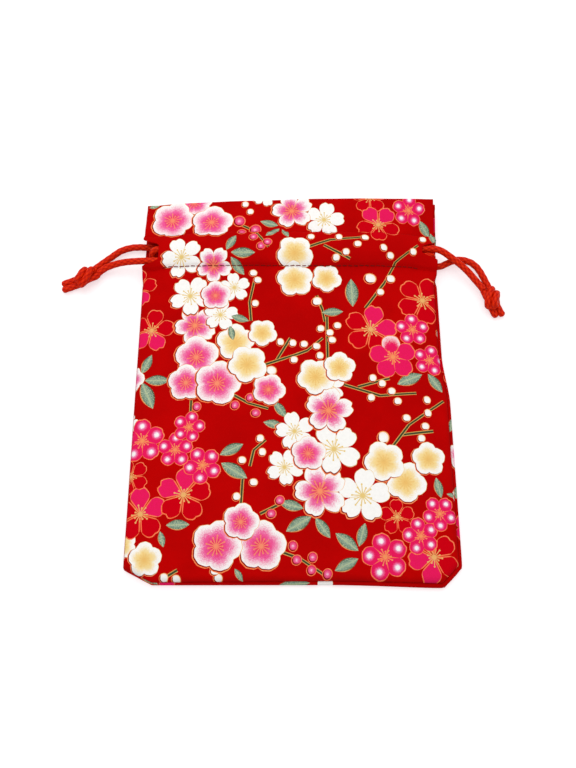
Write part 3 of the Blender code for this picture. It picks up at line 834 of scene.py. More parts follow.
def pack_bake_map(piece):
    """Scales the cloth's flat layout into the unit square, with the wrong side beside the right side."""
    mesh = piece.data
    layout = mesh.uv_layers["OFBake"].data
    for face in mesh.polygons:
        side = 0.0 if face.material_index == 0 else 0.5
        for n in face.loop_indices:
            x, y = layout[n].uv
            layout[n].uv = (
                side + MAP_MARGIN + (x - MAP_CORNER[0]) * MAP_SCALE,
                MAP_MARGIN + (y - MAP_CORNER[1]) * MAP_SCALE,
            )


class Number:
    """A number in a material's nodes. Sums and comparisons of it add the nodes that work them out."""

    def __init__(self, tree, socket):
        self.tree = tree
        self.socket = socket

    def math(self, operation, *others, clamp=False):
        """Adds one Math node."""
        node = self.tree.nodes.new("ShaderNodeMath")
        node.operation = operation
        node.use_clamp = clamp
        for entry, value in zip(node.inputs, (self, *others)):
            if isinstance(value, Number):
                self.tree.links.new(value.socket, entry)
            else:
                entry.default_value = value
        return Number(self.tree, node.outputs[0])

    def __add__(self, other):
        return self.math("ADD", other)

    def __sub__(self, other):
        return self.math("SUBTRACT", other)

    def __mul__(self, other):
        return self.math("MULTIPLY", other)

    def __truediv__(self, other):
        return self.math("DIVIDE", other)

    def __lt__(self, other):
        return self.math("LESS_THAN", other)

    def __gt__(self, other):
        return self.math("GREATER_THAN", other)

    def size(self):
        """The number without its sign."""
        return self.math("ABSOLUTE")

    def rise(self, low, high):
        """0 up to low, 1 from high, and smooth between them."""
        node = self.tree.nodes.new("ShaderNodeMapRange")
        node.interpolation_type = "SMOOTHSTEP"
        self.tree.links.new(self.socket, node.inputs["Value"])
        for name, value in (("From Min", low), ("From Max", high)):
            if isinstance(value, Number):
                self.tree.links.new(value.socket, node.inputs[name])
            else:
                node.inputs[name].default_value = value
        return Number(self.tree, node.outputs["Result"])


def colour_mix(tree, share, below, above):
    """Mixes two colours by share. Each colour is a socket or three numbers."""
    node = tree.nodes.new("ShaderNodeMix")
    node.data_type = "RGBA"
    factor, first, second = node.inputs[0], node.inputs[6], node.inputs[7]
    tree.links.new(share.socket, factor)
    for entry, value in ((first, below), (second, above)):
        if isinstance(value, bpy.types.NodeSocket):
            tree.links.new(value, entry)
        else:
            entry.default_value = (*value, 1)
    return node.outputs[2]


def srgb(red, green, blue):
    """A colour as three linear numbers, from the 0 to 255 values that a screen shows."""
    values = []
    for part in (red, green, blue):
        share = part / 255
        values.append(share / 12.92 if share <= 0.04045 else ((share + 0.055) / 1.055) ** 2.4)
    return tuple(values)


# For each kind of motif: colour at the middle, half way and at the rim, and of its outline
WHITE_INK = srgb(255, 253, 249)
MAGENTA_INK = srgb(240, 26, 98)
GROUND_INK = srgb(206, 0, 18)
GOLD_LINE = srgb(250, 170, 100)
RED_LINE = srgb(255, 126, 80)
DARK_LINE = srgb(140, 0, 4)
MOTIF_COLOURS = {
    PLUM: (srgb(240, 56, 96), srgb(244, 92, 158), WHITE_INK, GOLD_LINE),
    CHERRY: (srgb(234, 50, 92), srgb(242, 104, 164), WHITE_INK, GOLD_LINE),
    WHITE: (srgb(255, 244, 206), WHITE_INK, WHITE_INK, srgb(240, 206, 140)),
    CREAM: (srgb(247, 206, 124), srgb(251, 222, 154), WHITE_INK, srgb(246, 208, 140)),
    RED: (GROUND_INK, GROUND_INK, GROUND_INK, RED_LINE),
    PLAIN_RED: (GROUND_INK, GROUND_INK, GROUND_INK, RED_LINE),
    DOTTED: (srgb(238, 52, 84), MAGENTA_INK, MAGENTA_INK, RED_LINE),
    MAGENTA: (srgb(238, 52, 84), MAGENTA_INK, MAGENTA_INK, RED_LINE),
    LEAF: (srgb(136, 162, 142), srgb(112, 142, 126), srgb(78, 106, 90), srgb(58, 70, 50)),
    TWIG: (srgb(60, 68, 46), srgb(74, 82, 54), srgb(120, 110, 60), srgb(226, 176, 92)),
    BUD: (WHITE_INK, WHITE_INK, srgb(255, 240, 228), GOLD_LINE),
    PINK_BUD: (srgb(250, 196, 220), srgb(244, 100, 150), srgb(226, 30, 80), RED_LINE),
}

# Colours laid over them: the magenta's uneven parts, a dot's soft edge, a leaf's veins and speckles, and
# the outline's lower left side, on blossoms and on leaves, and its bright grains
UNEVEN_INK = srgb(226, 30, 72)
DOT_EDGE = srgb(244, 150, 202)
VEIN_INK = srgb(196, 204, 150)
SPECKLE_INK = srgb(206, 214, 178)
LOW_LINE = srgb(255, 112, 64)
LOW_LEAF_LINE = srgb(232, 150, 84)
GRAIN_LINE = srgb(255, 222, 160)

# For each kind: middle of a petal's rounding, notch in a petal's tip, middle's end, and rim's start
MOTIF_SHAPES = {
    PLUM: (0.48, 0.0, 0.38, 0.94),
    CHERRY: (0.62, 0.08, 0.40, 0.86),
    WHITE: (0.64, 0.09, 0.10, 0.30),
    CREAM: (0.50, 0.0, 0.40, 0.85),
    RED: (0.64, 0.07, 0.2, 0.9),
    PLAIN_RED: (0.64, 0.07, 0.2, 0.9),
    DOTTED: (0.61, 0.03, 0.2, 0.9),
    MAGENTA: (0.61, 0.03, 0.2, 0.9),
    LEAF: (0.5, 0.0, 0.3, 0.95),
    TWIG: (0.5, 0.0, 0.3, 0.8),
    BUD: (0.5, 0.0, 0.3, 0.95),
    PINK_BUD: (0.5, 0.0, 0.2, 0.95),
}

# Stamens of a blossom, in shares of its radius: their number, the shortest one's length and how much
# longer the longest is, how much shorter those of a red blossom are, half a hair's thickness, a grain's
# radius and the radius of their middle
STAMENS = 13
STAMEN_LENGTH = 0.24
STAMEN_SPREAD = 0.18
RED_STAMEN_CUT = 0.07
HAIR_HALF = 0.017
GRAIN_RADIUS = 0.034
STAMEN_MIDDLE = 0.08

# Colour of the stamens for each kind of blossom
STAMEN_COLOURS = {
    PLUM: srgb(250, 146, 110), CHERRY: srgb(250, 150, 104), WHITE: srgb(236, 204, 128),
    CREAM: srgb(238, 184, 100), RED: srgb(238, 178, 108), PLAIN_RED: srgb(238, 178, 108),
    DOTTED: srgb(250, 150, 96), MAGENTA: srgb(250, 150, 96),
}


def kind_table(tree, kind, values):
    """Adds a stepped ramp that gives each kind of motif its own colour."""
    node = tree.nodes.new("ShaderNodeValToRGB")
    ramp = node.color_ramp
    ramp.interpolation = "CONSTANT"
    tree.links.new(kind.socket, node.inputs["Fac"])
    ramp.elements[0].position = 0.0
    ramp.elements[0].color = (0, 0, 0, 0)
    ramp.elements.remove(ramp.elements[1])
    for number, value in values.items():
        stop = ramp.elements.new((number - 0.5) / KINDS)
        stop.color = (*value[:3], value[3] if len(value) > 3 else 1)
    return node


def any_kind(kind, *numbers):
    """1 where the motif is one of these kinds."""
    total = None
    for number in numbers:
        this = (kind - number / KINDS).size() < 0.4 / KINDS
        total = this if total is None else total + this
    return total


def inverted(number):
    """1 less the number."""
    return number * -1.0 + 1.0


def blossom_outline(angle, radius, centre, notch, kind):
    """How far out a point is in a blossom, from 0 to 1 at the outline, and its place in its petal."""
    sector = angle / PETAL + 5.5
    side = (sector.math("FRACT") - 0.5).size() * PETAL
    arm = inverted(centre)
    sine = centre * side.math("SINE")
    reach = centre * side.math("COSINE") + (arm * arm - sine * sine).math("MAXIMUM", 0.0).math("SQRT")
    dent = notch * (side / -0.15 + 1.0).math("MAXIMUM", 0.0)
    ripple = (angle * 19.0 + kind * 40.0).math("SINE") * 0.008
    wedge = (arm / centre).math("MINIMUM", 1.0).math("ARCSINE")
    from_wedge = radius * (wedge - side).math("SINE")
    return radius / (reach - dent + ripple), side, sector.math("FLOOR"), from_wedge


def stamen_share(angle, radius, red_kind):
    """1 on a blossom's stamens: hairs of uneven length, each with a grain at its end, and their middle."""
    spoke = angle / (TAU / STAMENS) + (STAMENS + 0.5)
    hair_angle = (spoke.math("FRACT") - 0.5).size() * (TAU / STAMENS)
    uneven = (spoke.math("FLOOR") * 0.618).math("FRACT")
    length = uneven * STAMEN_SPREAD + STAMEN_LENGTH - red_kind * RED_STAMEN_CUT
    across = radius * hair_angle.math("SINE")
    along = radius * hair_angle.math("COSINE") - length
    hair = (across < HAIR_HALF) * (radius < length)
    grain = (across * across + along * along).math("SQRT") < GRAIN_RADIUS
    return hair.math("MAXIMUM", grain).math("MAXIMUM", radius < STAMEN_MIDDLE)


class MotifPaint:
    """Works out one motif's numbers at a point of the cloth, and paints its parts over one another."""

    def __init__(self, tree, entry):
        self.tree = tree
        parts = tree.nodes.new("ShaderNodeSeparateXYZ")
        tree.links.new(entry.outputs["Place"], parts.inputs[0])
        self.x, self.y = (Number(tree, parts.outputs[n]) for n in range(2))
        self.kind, self.turn, self.grain = (
            Number(tree, entry.outputs[name]) for name in ("Kind", "Turn", "Grain")
        )
        shapes = kind_table(tree, self.kind, MOTIF_SHAPES)
        split = tree.nodes.new("ShaderNodeSeparateColor")
        tree.links.new(shapes.outputs["Color"], split.inputs[0])
        self.centre, self.notch, self.inner_end = (Number(tree, split.outputs[n]) for n in range(3))
        self.rim_start = Number(tree, shapes.outputs["Alpha"])
        self.printed = self.kind > 0.5 / KINDS
        self.leaf = self.any_of(LEAF)
        self.twig = self.any_of(TWIG)
        self.bud = self.any_of(BUD, PINK_BUD)
        self.blossom = self.printed * (self.kind < (LAST_BLOSSOM + 0.5) / KINDS)
        self.red = self.any_of(RED, PLAIN_RED, DOTTED, MAGENTA)
        self.measure()

    def any_of(self, *kinds):
        """1 where the motif is one of these kinds."""
        return any_kind(self.kind, *kinds)

    def mix(self, share, below, above):
        """Mixes two colours by share."""
        return colour_mix(self.tree, share, below, above)

    def table(self, values):
        """The colour that a table gives the motif's kind."""
        return kind_table(self.tree, self.kind, values).outputs["Color"]

    def measure(self):
        """How far out the point is in its motif, from 0 in the middle to 1 at the outline."""
        x, y = self.x, self.y
        self.radius = (x * x + y * y).math("SQRT")
        self.angle = y.math("ARCTAN2", x)
        blossom_depth, self.side, self.petal, self.from_wedge = blossom_outline(
            self.angle, self.radius, self.centre, self.notch, self.kind
        )
        apart = self.red * (self.from_wedge < 0.0) * (self.radius > 0.1)
        blossom_depth = blossom_depth + apart * 2.0
        leaf_depth = y.size() / (x * x * -1.0 + 1.0).math("MAXIMUM", 0.0001)
        twig_depth = y.size() + (x.size() > 1.0) * 2.0
        depth = blossom_depth * self.blossom + leaf_depth * self.leaf
        self.depth = depth + twig_depth * self.twig + self.radius * self.bud
        self.speckled = self.depth + self.grain * 0.5 - 0.25

    def petals(self):
        """The motif's own colours, from its middle to its rim, with the red cherry's two magenta petals."""
        middle, half, rim = (self.table({k: v[n] for k, v in MOTIF_COLOURS.items()}) for n in range(3))
        fill = self.mix(self.speckled.rise(self.inner_end * 0.3, self.inner_end + 0.14), middle, half)
        fill = self.mix(self.speckled.rise(self.inner_end + 0.06, self.rim_start), fill, rim)
        bright = self.any_of(RED) * ((self.petal > 4.5) * (self.petal < 6.5))
        fill = self.mix(bright, fill, MAGENTA_INK)
        uneven = bright.math("MAXIMUM", self.any_of(DOTTED, MAGENTA)) * self.grain.rise(0.40, 0.62)
        return self.mix(uneven * 0.5, fill, UNEVEN_INK)

    def dots(self, fill):
        """A soft white dot on each petal of a dotted blossom, and the white tip of a magenta one's petal."""
        along = self.radius * self.side.math("COSINE") - 0.66
        across = self.radius * self.side.math("SINE")
        dot = (along * along + across * across).math("SQRT") + self.grain * 0.10 - 0.05
        dotted = self.any_of(DOTTED)
        fill = self.mix(dotted * (dot.rise(0.25, 0.09) * 0.85), fill, DOT_EDGE)
        fill = self.mix(dotted * dot.rise(0.145, 0.06), fill, WHITE_INK)
        tip = self.any_of(MAGENTA) * (self.petal > 4.5) * (self.petal < 5.5)
        return self.mix(tip * self.speckled.rise(0.60, 0.95) * 0.75, fill, WHITE_INK)

    def inner_lines(self, fill, line):
        """Lines between the petals of a white or pink cherry or along a red one's petals, and stamens."""
        gap_line = self.radius * inverted(self.side / (PETAL / 2)).math("SINE") * (PETAL / 2)
        faint = self.any_of(CHERRY, WHITE) * (gap_line < 0.018) * (self.radius > 0.16) * 0.6
        sides = self.red * (self.from_wedge < 0.040) * (self.radius > 0.13) * (self.radius < self.centre)
        fill = self.mix(faint.math("MAXIMUM", sides), fill, line)
        stamens = self.blossom * stamen_share(self.angle, self.radius, self.red)
        return self.mix(stamens * inverted(self.any_of(CREAM) * 0.45), fill, self.table(STAMEN_COLOURS))

    def leaf_marks(self, fill):
        """A leaf's vein, side veins and pale speckles."""
        ribs = ((self.x + self.y.size() * 0.7) * 5.0).math("FRACT") < 0.2
        veins = self.leaf * (self.y.size() < 0.09).math("MAXIMUM", ribs * 0.5) * (self.depth < 0.85)
        fill = self.mix(veins * 0.55, fill, VEIN_INK)
        flecks = self.leaf * self.grain.rise(0.50, 0.62) * 0.7
        return self.mix(flecks, fill, SPECKLE_INK)

    def outlined(self, fill, line):
        """Draws the gold outline round the colours, and the dark line inside it at the lower left."""
        not_red, not_green = inverted(self.red), inverted((self.leaf + self.twig).math("MINIMUM", 1.0))
        away = self.turn * -TAU + math.radians(225)
        toward = self.x * away.math("COSINE") + self.y * away.math("SINE")
        lower = (toward / self.radius.math("MAXIMUM", 0.001)).rise(-0.2, 0.6)
        thin = not_red * self.blossom * inverted(lower) * 0.024
        line_width = self.bud * 0.10 + self.leaf * 0.10 + self.twig * 0.30 + 0.045 - thin
        dark_width = (self.bud * 0.16 + 0.05) * lower * not_green * not_red
        line_start = inverted(line_width)
        tinted = self.mix(lower * not_green * 0.8, line, LOW_LINE)
        tinted = self.mix(self.leaf * lower, tinted, LOW_LEAF_LINE)
        tinted = self.mix(self.grain.rise(0.55, 0.70) * 0.4, tinted, GRAIN_LINE)
        painted = self.mix(self.depth > line_start - dark_width, fill, DARK_LINE)
        return self.mix(self.depth > line_start, painted, tinted)


def motif_group():
    """Builds the node group that paints one motif over the colour below it."""
    tree = bpy.data.node_groups.new("Printed motif", "ShaderNodeTree")
    for name, kind in (
        ("Place", "NodeSocketVector"), ("Kind", "NodeSocketFloat"), ("Turn", "NodeSocketFloat"),
        ("Grain", "NodeSocketFloat"), ("Below", "NodeSocketColor"),
    ):
        tree.interface.new_socket(name, in_out="INPUT", socket_type=kind)
    tree.interface.new_socket("Colour", in_out="OUTPUT", socket_type="NodeSocketColor")
    entry = tree.nodes.new("NodeGroupInput")
    leave = tree.nodes.new("NodeGroupOutput")
    paint = MotifPaint(tree, entry)
    line = paint.table({kind: colours[3] for kind, colours in MOTIF_COLOURS.items()})
    fill = paint.dots(paint.petals())
    fill = paint.leaf_marks(paint.inner_lines(fill, line))
    covered = (paint.depth < 1.0) * paint.printed
    colour = paint.mix(covered, entry.outputs["Below"], paint.outlined(fill, line))
    tree.links.new(colour, leave.inputs["Colour"])
    return tree


def new_material(name, roughness, specular):
    """Makes a Principled material and returns it with its tree and shader."""
    material = bpy.data.materials.new(name)
    material.use_nodes = True
    shader = material.node_tree.nodes["Principled BSDF"]
    shader.inputs["Roughness"].default_value = roughness
    shader.inputs["Specular IOR Level"].default_value = specular
    return material, material.node_tree, shader


def noise(tree, coordinates, scale, detail=2.0):
    """Adds a Noise node on these coordinates and returns its value."""
    node = tree.nodes.new("ShaderNodeTexNoise")
    node.inputs["Scale"].default_value = scale
    node.inputs["Detail"].default_value = detail
    tree.links.new(coordinates, node.inputs["Vector"])
    return Number(tree, node.outputs[0])


def corner_numbers(tree, name):
    """The four numbers that a colour attribute holds at a point."""
    node = tree.nodes.new("ShaderNodeAttribute")
    node.attribute_name = name
    parts = tree.nodes.new("ShaderNodeSeparateColor")
    tree.links.new(node.outputs["Color"], parts.inputs[0])
    return [*parts.outputs, node.outputs["Alpha"]]


def map_node(tree, name):
    """Adds a node that reads one of the cloth's layouts."""
    node = tree.nodes.new("ShaderNodeUVMap")
    node.uv_map = name
    return node


def printed_colour(tree, coordinates, group, settings):
    """The red ground with the motifs of all the slots over it, the first slot on top."""
    kinds = corner_numbers(tree, "motif_kinds")
    turns = corner_numbers(tree, "motif_turns")
    grain = noise(tree, coordinates, scale=2600, detail=1.0)
    shade = noise(tree, coordinates, scale=55)
    ground = tuple(settings.ground)
    colour = colour_mix(tree, shade.rise(0.3, 0.7), ground, tuple(c * 0.86 for c in ground))
    for slot in reversed(range(SLOTS)):
        node = tree.nodes.new("ShaderNodeGroup")
        node.node_tree = group
        tree.links.new(map_node(tree, f"Motif{slot}").outputs[0], node.inputs["Place"])
        tree.links.new(kinds[slot], node.inputs["Kind"])
        tree.links.new(turns[slot], node.inputs["Turn"])
        tree.links.new(grain.socket, node.inputs["Grain"])
        tree.links.new(colour, node.inputs["Below"])
        colour = node.outputs[0]
    return colour


def shaded(tree, colour, tone):
    """A colour times a tone, where 1 leaves it as it is."""
    grey = tree.nodes.new("ShaderNodeCombineColor")
    for entry in grey.inputs[:3]:
        tree.links.new(tone.socket, entry)
    node = tree.nodes.new("ShaderNodeMix")
    node.data_type = "RGBA"
    node.blend_type = "MULTIPLY"
    node.inputs[0].default_value = 1.0
    tree.links.new(colour, node.inputs[6])
    tree.links.new(grey.outputs[0], node.inputs[7])
    return node.outputs[2]


def add_bump(tree, shader, height, strength):
    """Gives a material a fine relief."""
    bump = tree.nodes.new("ShaderNodeBump")
    bump.inputs["Strength"].default_value = strength
    bump.inputs["Distance"].default_value = BUMP_DEPTH
    tree.links.new(height.socket, bump.inputs["Height"])
    tree.links.new(bump.outputs[0], shader.inputs["Normal"])


def printed_cotton(name, group, settings, wrong_side):
    """Material of the cotton: the print over the red ground, with the weave's relief."""
    material, tree, shader = new_material(name, roughness=0.9, specular=0.02)
    coordinates = tree.nodes.new("ShaderNodeTexCoord").outputs["Object"]
    colour = printed_colour(tree, coordinates, group, settings)
    split = tree.nodes.new("ShaderNodeSeparateXYZ")
    tree.links.new(map_node(tree, "OFBake").outputs[0], split.inputs[0])
    pitch = math.pi / (settings.weave / MM * MAP_SCALE)
    warp, weft = ((Number(tree, split.outputs[n]) * pitch).math("SINE") for n in range(2))
    weave = warp * weft
    slub = noise(tree, coordinates, scale=900)
    colour = shaded(tree, colour, weave * 0.06 + slub * 0.12 + 0.92)
    if wrong_side:
        fade = slub.rise(0.2, 0.9) * 0.12 + 0.74
        colour = colour_mix(tree, fade, colour, tuple(settings.wrong_side))
    tree.links.new(colour, shader.inputs["Base Color"])
    add_bump(tree, shader, weave * 0.5 + slub, strength=0.35)
    return material


def cloth_materials(settings):
    """The cotton's two materials, for its right side and its wrong side."""
    if "printed_cotton_right_side" not in bpy.data.materials:
        group = motif_group()
        printed_cotton("printed_cotton_right_side", group, settings, False)
        printed_cotton("printed_cotton_wrong_side", group, settings, True)
    return [bpy.data.materials[f"printed_cotton_{side}_side"] for side in ("right", "wrong")]


def finish_cloth(piece, settings, motifs, node):
    lay_print(piece, motifs)
    pack_bake_map(piece)
    for material in cloth_materials(settings):
        piece.data.materials.append(material)
    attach(piece, "root")
    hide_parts(node)


def add_stitch(mesh_parts, middle, line, settings, place, pitch_side):
    """Adds one stitch to the lists of a mesh: a short thread that sinks into the cloth at both ends."""
    places, faces = mesh_parts
    base = len(places)
    for share, thick, lift in STITCH_RINGS:
        spot = place(middle + (share - 0.5) * settings.stitch, line)
        spot.z += pitch_side * (CLOTH / 2 + STITCH_RADIUS * lift)
        for m in range(STITCH_SIDES):
            angle = TAU * m / STITCH_SIDES
            places.append(spot + Vector((0.0, math.cos(angle), math.sin(angle))) * (STITCH_RADIUS * thick))
    last = base + (len(STITCH_RINGS) - 1) * STITCH_SIDES
    for here in range(base, last, STITCH_SIDES):
        after = here + STITCH_SIDES
        for m in range(STITCH_SIDES):
            n = (m + 1) % STITCH_SIDES
            faces.append((here + m, here + n, after + n, after + m))
    faces.append(tuple(base + m for m in reversed(range(STITCH_SIDES))))
    faces.append(tuple(last + m for m in range(STITCH_SIDES)))


def stitch_rows(name, settings, place, pitch_side):
    """Makes a panel's two rows of stitches."""
    mesh_parts = ([], [])
    step = settings.stitch + settings.stitch_gap
    count = int(STITCHED_HALF / step)
    for line in (ROW_LOW, ROW_HIGH):
        for n in range(-count, count + 1):
            add_stitch(mesh_parts, n * step, line, settings, place, pitch_side)
    piece = piece_of(name, *mesh_parts, thread_material(settings))
    bpy.ops.object.mode_set(mode="EDIT")
    bpy.ops.mesh.select_all(action="SELECT")
    bpy.ops.mesh.normals_make_consistent(inside=False)
    bpy.ops.object.mode_set(mode="OBJECT")
    bpy.ops.object.shade_smooth()
    return piece


def thread_material(settings):
    """Material of the sewing thread: dark red, with a fine twist."""
    if "dark_red_thread" in bpy.data.materials:
        return bpy.data.materials["dark_red_thread"]
    material, tree, shader = new_material("dark_red_thread", roughness=0.7, specular=0.1)
    coordinates = tree.nodes.new("ShaderNodeTexCoord").outputs["Object"]
    twist = noise(tree, coordinates, scale=5000, detail=1.0)
    bright = tuple(settings.thread)
    colour = colour_mix(tree, twist.rise(0.3, 0.7), tuple(c * 0.6 for c in bright), bright)
    tree.links.new(colour, shader.inputs["Base Color"])
    return material


def smooth_route(points, steps):
    """Reads places from a smooth curve that passes through the route's own points."""
    spots = [Vector(p) * MM for p in points]
    spots = [2 * spots[0] - spots[1]] + spots + [2 * spots[-1] - spots[-2]]
    smooth = []
    for n in range(1, len(spots) - 2):
        before, start, end, after = spots[n - 1:n + 3]
        for step in range(steps):
            t = step / steps
            bend = 2 * start + (end - before) * t
            bend += (2 * before - 5 * start + 4 * end - after) * t ** 2
            bend += (3 * start - before - 3 * end + after) * t ** 3
            smooth.append(bend / 2)
    smooth.append(spots[-2])
    return smooth


def even_path(points, step, closed=False):
    """Places an even step apart along a chain of points."""
    if closed:
        points = points + [points[0]]
    lengths = [0.0]
    for a, b in zip(points, points[1:]):
        lengths.append(lengths[-1] + (b - a).length)
    count = max(4, round(lengths[-1] / step))
    places = []
    n = 0
    for k in range(count + 1):
        goal = lengths[-1] * k / count
        while n < len(points) - 2 and lengths[n + 1] < goal:
            n += 1
        share = (goal - lengths[n]) / max(lengths[n + 1] - lengths[n], 1e-9)
        places.append(points[n].lerp(points[n + 1], share))
    return places


def path_frames(path):
    """Two directions across a path at each of its places, which don't twist along it."""
    forward = (path[1] - path[0]).normalized()
    normal = forward.orthogonal().normalized()
    frames = []
    for k in range(len(path)):
        ahead = (path[min(k + 1, len(path) - 1)] - path[max(k - 1, 0)]).normalized()
        normal = (forward.rotation_difference(ahead) @ normal).normalized()
        normal = (normal - ahead * normal.dot(ahead)).normalized()
        forward = ahead
        frames.append((normal, forward.cross(normal)))
    return frames


def braid_rise(one, two):
    """Height of the braid from 0 in a gap to 1 on a crown, where one strand lies over the other."""
    over, under = (one, two) if (math.floor(one) + math.floor(two)) % 2 == 0 else (two, one)
    return math.sin(math.pi * (over % 1)) * (0.55 + 0.45 * math.sin(math.pi * (under % 1)))


def add_braid(mesh_parts, path, cord, rounded=False, phase=0.0):
    """Adds one braided tube along a path to the lists of a mesh: places, faces and the braid's relief."""
    places, faces, relief = mesh_parts
    radius = cord.diameter / 2
    step = (path[1] - path[0]).length
    total = step * (len(path) - 1)
    base = len(places)
    for k, (spot, (normal, other)) in enumerate(zip(path, path_frames(path))):
        along = k * step
        end = min(along, total - along) / radius
        cap = math.sqrt(max(0.0, 1 - (1 - end) ** 2)) if rounded and end < 1 else 1.0
        for j in range(BRAID_SIDES):
            turn = j / BRAID_SIDES
            one = STRANDS * turn + along / cord.diamond + phase
            rise = braid_rise(one, STRANDS * turn - along / cord.diamond)
            out = normal * math.cos(TAU * turn) + other * math.sin(TAU * turn)
            places.append(spot + out * (radius * cap * (1.0 + BRAID_RISE * rise)))
            relief.append(rise)
    last = base + (len(path) - 1) * BRAID_SIDES
    for here in range(base, last, BRAID_SIDES):
        there = here + BRAID_SIDES
        for j in range(BRAID_SIDES):
            m = (j + 1) % BRAID_SIDES
            faces.append((here + j, here + m, there + m, there + j))
    for ring, spot, flip in ((base, path[0], True), (last, path[-1], False)):
        middle = len(places)
        places.append(spot)
        relief.append(CUT_RELIEF)
        for j in range(BRAID_SIDES):
            a, b = ring + j, ring + (j + 1) % BRAID_SIDES
            faces.append((middle, b, a) if flip else (middle, a, b))


def braid_piece(name, mesh_parts, cord):
    """Makes one piece of braided tubes, with its relief as an attribute."""
    places, faces, relief = mesh_parts
    piece = piece_of(name, places, faces, braid_material(cord))
    layer = piece.data.attributes.new("relief", "FLOAT", "POINT")
    layer.data.foreach_set("value", relief)
    bpy.ops.object.shade_smooth()
    return piece


def braid_material(cord):
    """Material of the cords: satin strands, with painted shade in the gaps of the braid and a painted
    highlight on the strands' crowns.
    """
    if "braided_red_cord" in bpy.data.materials:
        return bpy.data.materials["braided_red_cord"]
    material, tree, shader = new_material("braided_red_cord", roughness=0.45, specular=0.07)
    coordinates = tree.nodes.new("ShaderNodeTexCoord").outputs["Object"]
    relief = tree.nodes.new("ShaderNodeAttribute")
    relief.attribute_name = "relief"
    height = Number(tree, relief.outputs["Fac"])
    fibre = noise(tree, coordinates, scale=4200)
    # Painted shade: where the relief is low, in the braid's gaps, the colour goes to the darker gap red.
    share = (height + fibre * 0.3 - 0.15).rise(0.05, 0.75)
    colour = colour_mix(tree, share, tuple(cord.gap), tuple(cord.crown))
    # Painted highlight: a brighter orange on the strands' crowns stands in for the satin's shine.
    bright = (min(1.0, cord.crown[0] * 1.3), cord.crown[1] * 3.2, cord.crown[2] * 2)
    colour = colour_mix(tree, (height + fibre * 0.4 - 0.2).rise(0.8, 1.05) * 0.6, colour, bright)
    tree.links.new(colour, shader.inputs["Base Color"])
    add_bump(tree, shader, fibre, strength=0.3)
    return material


def knot_path(side, knot):
    """Places of one strand of the doubled cord through a knot, in the knot's own directions."""
    mirror = knot["mirror"]
    spots = smooth_route([(x, y * mirror, z) for (x, y, z), _ in KNOT_TURNS], 6)
    outward = smooth_route([(x, y * mirror, z) for _, (x, y, z) in KNOT_TURNS], 6)
    strand = []
    for n, spot in enumerate(spots):
        ahead = spots[min(n + 1, len(spots) - 1)] - spots[max(n - 1, 0)]
        across = ahead.cross(outward[n]).normalized()
        strand.append(spot + across * STRAND_APART * side)
    start = Vector((KNOT_START, knot["enter"], KNOT_START_DROP)) * MM
    strand.insert(0, start + (strand[0] - spots[0]))
    last = strand[-1]
    drop = (TAIL_LEVEL - knot["place"][2]) * MM
    tail = knot["tail"] * MM + (TAIL_UNEVEN if side > 0 else 0.0)
    strand.append(Vector((KNOT_REACH * MM, last.y, drop)))
    strand.append(Vector((KNOT_REACH * MM + tail / 2, last.y, drop)))
    strand.append(Vector((KNOT_REACH * MM + tail, last.y, drop)))
    return [spot / MM for spot in strand]


def knot_piece(name, knot, cord):
    """Makes one overhand knot: both strands of the doubled cord, and the two tails that they end in."""
    parts = ([], [], [])
    turn = Matrix.Rotation(math.radians(knot["turn"]), 4, "Z")
    seat = Matrix.Translation(Vector(knot["place"]) * MM) @ turn
    for side in (1, -1):
        local = smooth_route(knot_path(side, knot), 3)
        path = even_path([seat @ spot for spot in local], cord.ring)
        add_braid(parts, path, cord, rounded=True, phase=STRAND_SHIFT * side)
    return braid_piece(name, parts, cord)


class POUCH_OT_back_cloth(bpy.types.Operator):
    """Add the back panel: flat, with its edges rolled up to the seam"""

    bl_idname = "pouch.back_cloth"
    bl_label = "Back panel"

    def execute(self, context):
        settings = context.scene.pouch_cloth
        piece = cloth_piece("back_cloth", settings, back_place, back_pitch, False)
        finish_cloth(piece, settings, back_motifs(), "back_panel")
        return {"FINISHED"}


class POUCH_OT_front_cloth(bpy.types.Operator):
    """Add the front panel: crowned over the body, with the channel and the open mouth"""

    bl_idname = "pouch.front_cloth"
    bl_label = "Front panel"

    def execute(self, context):
        settings = context.scene.pouch_cloth
        piece = cloth_piece("front_cloth", settings, front_place, front_pitch, True)
        finish_cloth(piece, settings, front_motifs(), "front_panel")
        return {"FINISHED"}


class POUCH_OT_stitching(bpy.types.Operator):
    """Add the two rows of stitches of each panel, which make the channel for the cords"""

    bl_idname = "pouch.stitching"
    bl_label = "Stitching"

    def execute(self, context):
        settings = context.scene.pouch_cloth
        for name, place, pitch_side in (
            ("front_stitches", front_place, 1),
            ("back_stitches", back_place, -1),
        ):
            piece = stitch_rows(name, settings, place, pitch_side)
            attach(piece, "root")
        return {"FINISHED"}


class POUCH_OT_drawstrings(bpy.types.Operator):
    """Add the two braided drawstrings and their knots"""

    bl_idname = "pouch.drawstrings"
    bl_label = "Drawstrings"

    def execute(self, context):
        cord = context.scene.pouch_cord
        for side, route, exit_place, knot in (
            ("left", LEFT_ROUTE, LEFT_EXIT, LEFT_KNOT),
            ("right", RIGHT_ROUTE, RIGHT_EXIT, RIGHT_KNOT),
        ):
            bunch = knot_piece(f"{side}_cord_knot", knot, cord)
            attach(bunch, "root")
            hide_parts(f"{side}_drawstring_knot")
            path = even_path(smooth_route(route, 8), cord.ring)
            parts = ([], [], [])
            add_braid(parts, path, cord)
            piece = braid_piece(f"{side}_braided_cord", parts, cord)
            length = (path[1] - path[0]).length * (len(path) - 1)
            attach(piece, "root")
            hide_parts(f"{side}_drawstring")
            [tuple(p) for p in path[::4] + [path[-1]]]
        return {"FINISHED"}


def aimed(direction):
    """Rotation of a lamp or a camera that looks in this direction."""
    return direction.to_track_quat("-Z", "Y").to_euler()


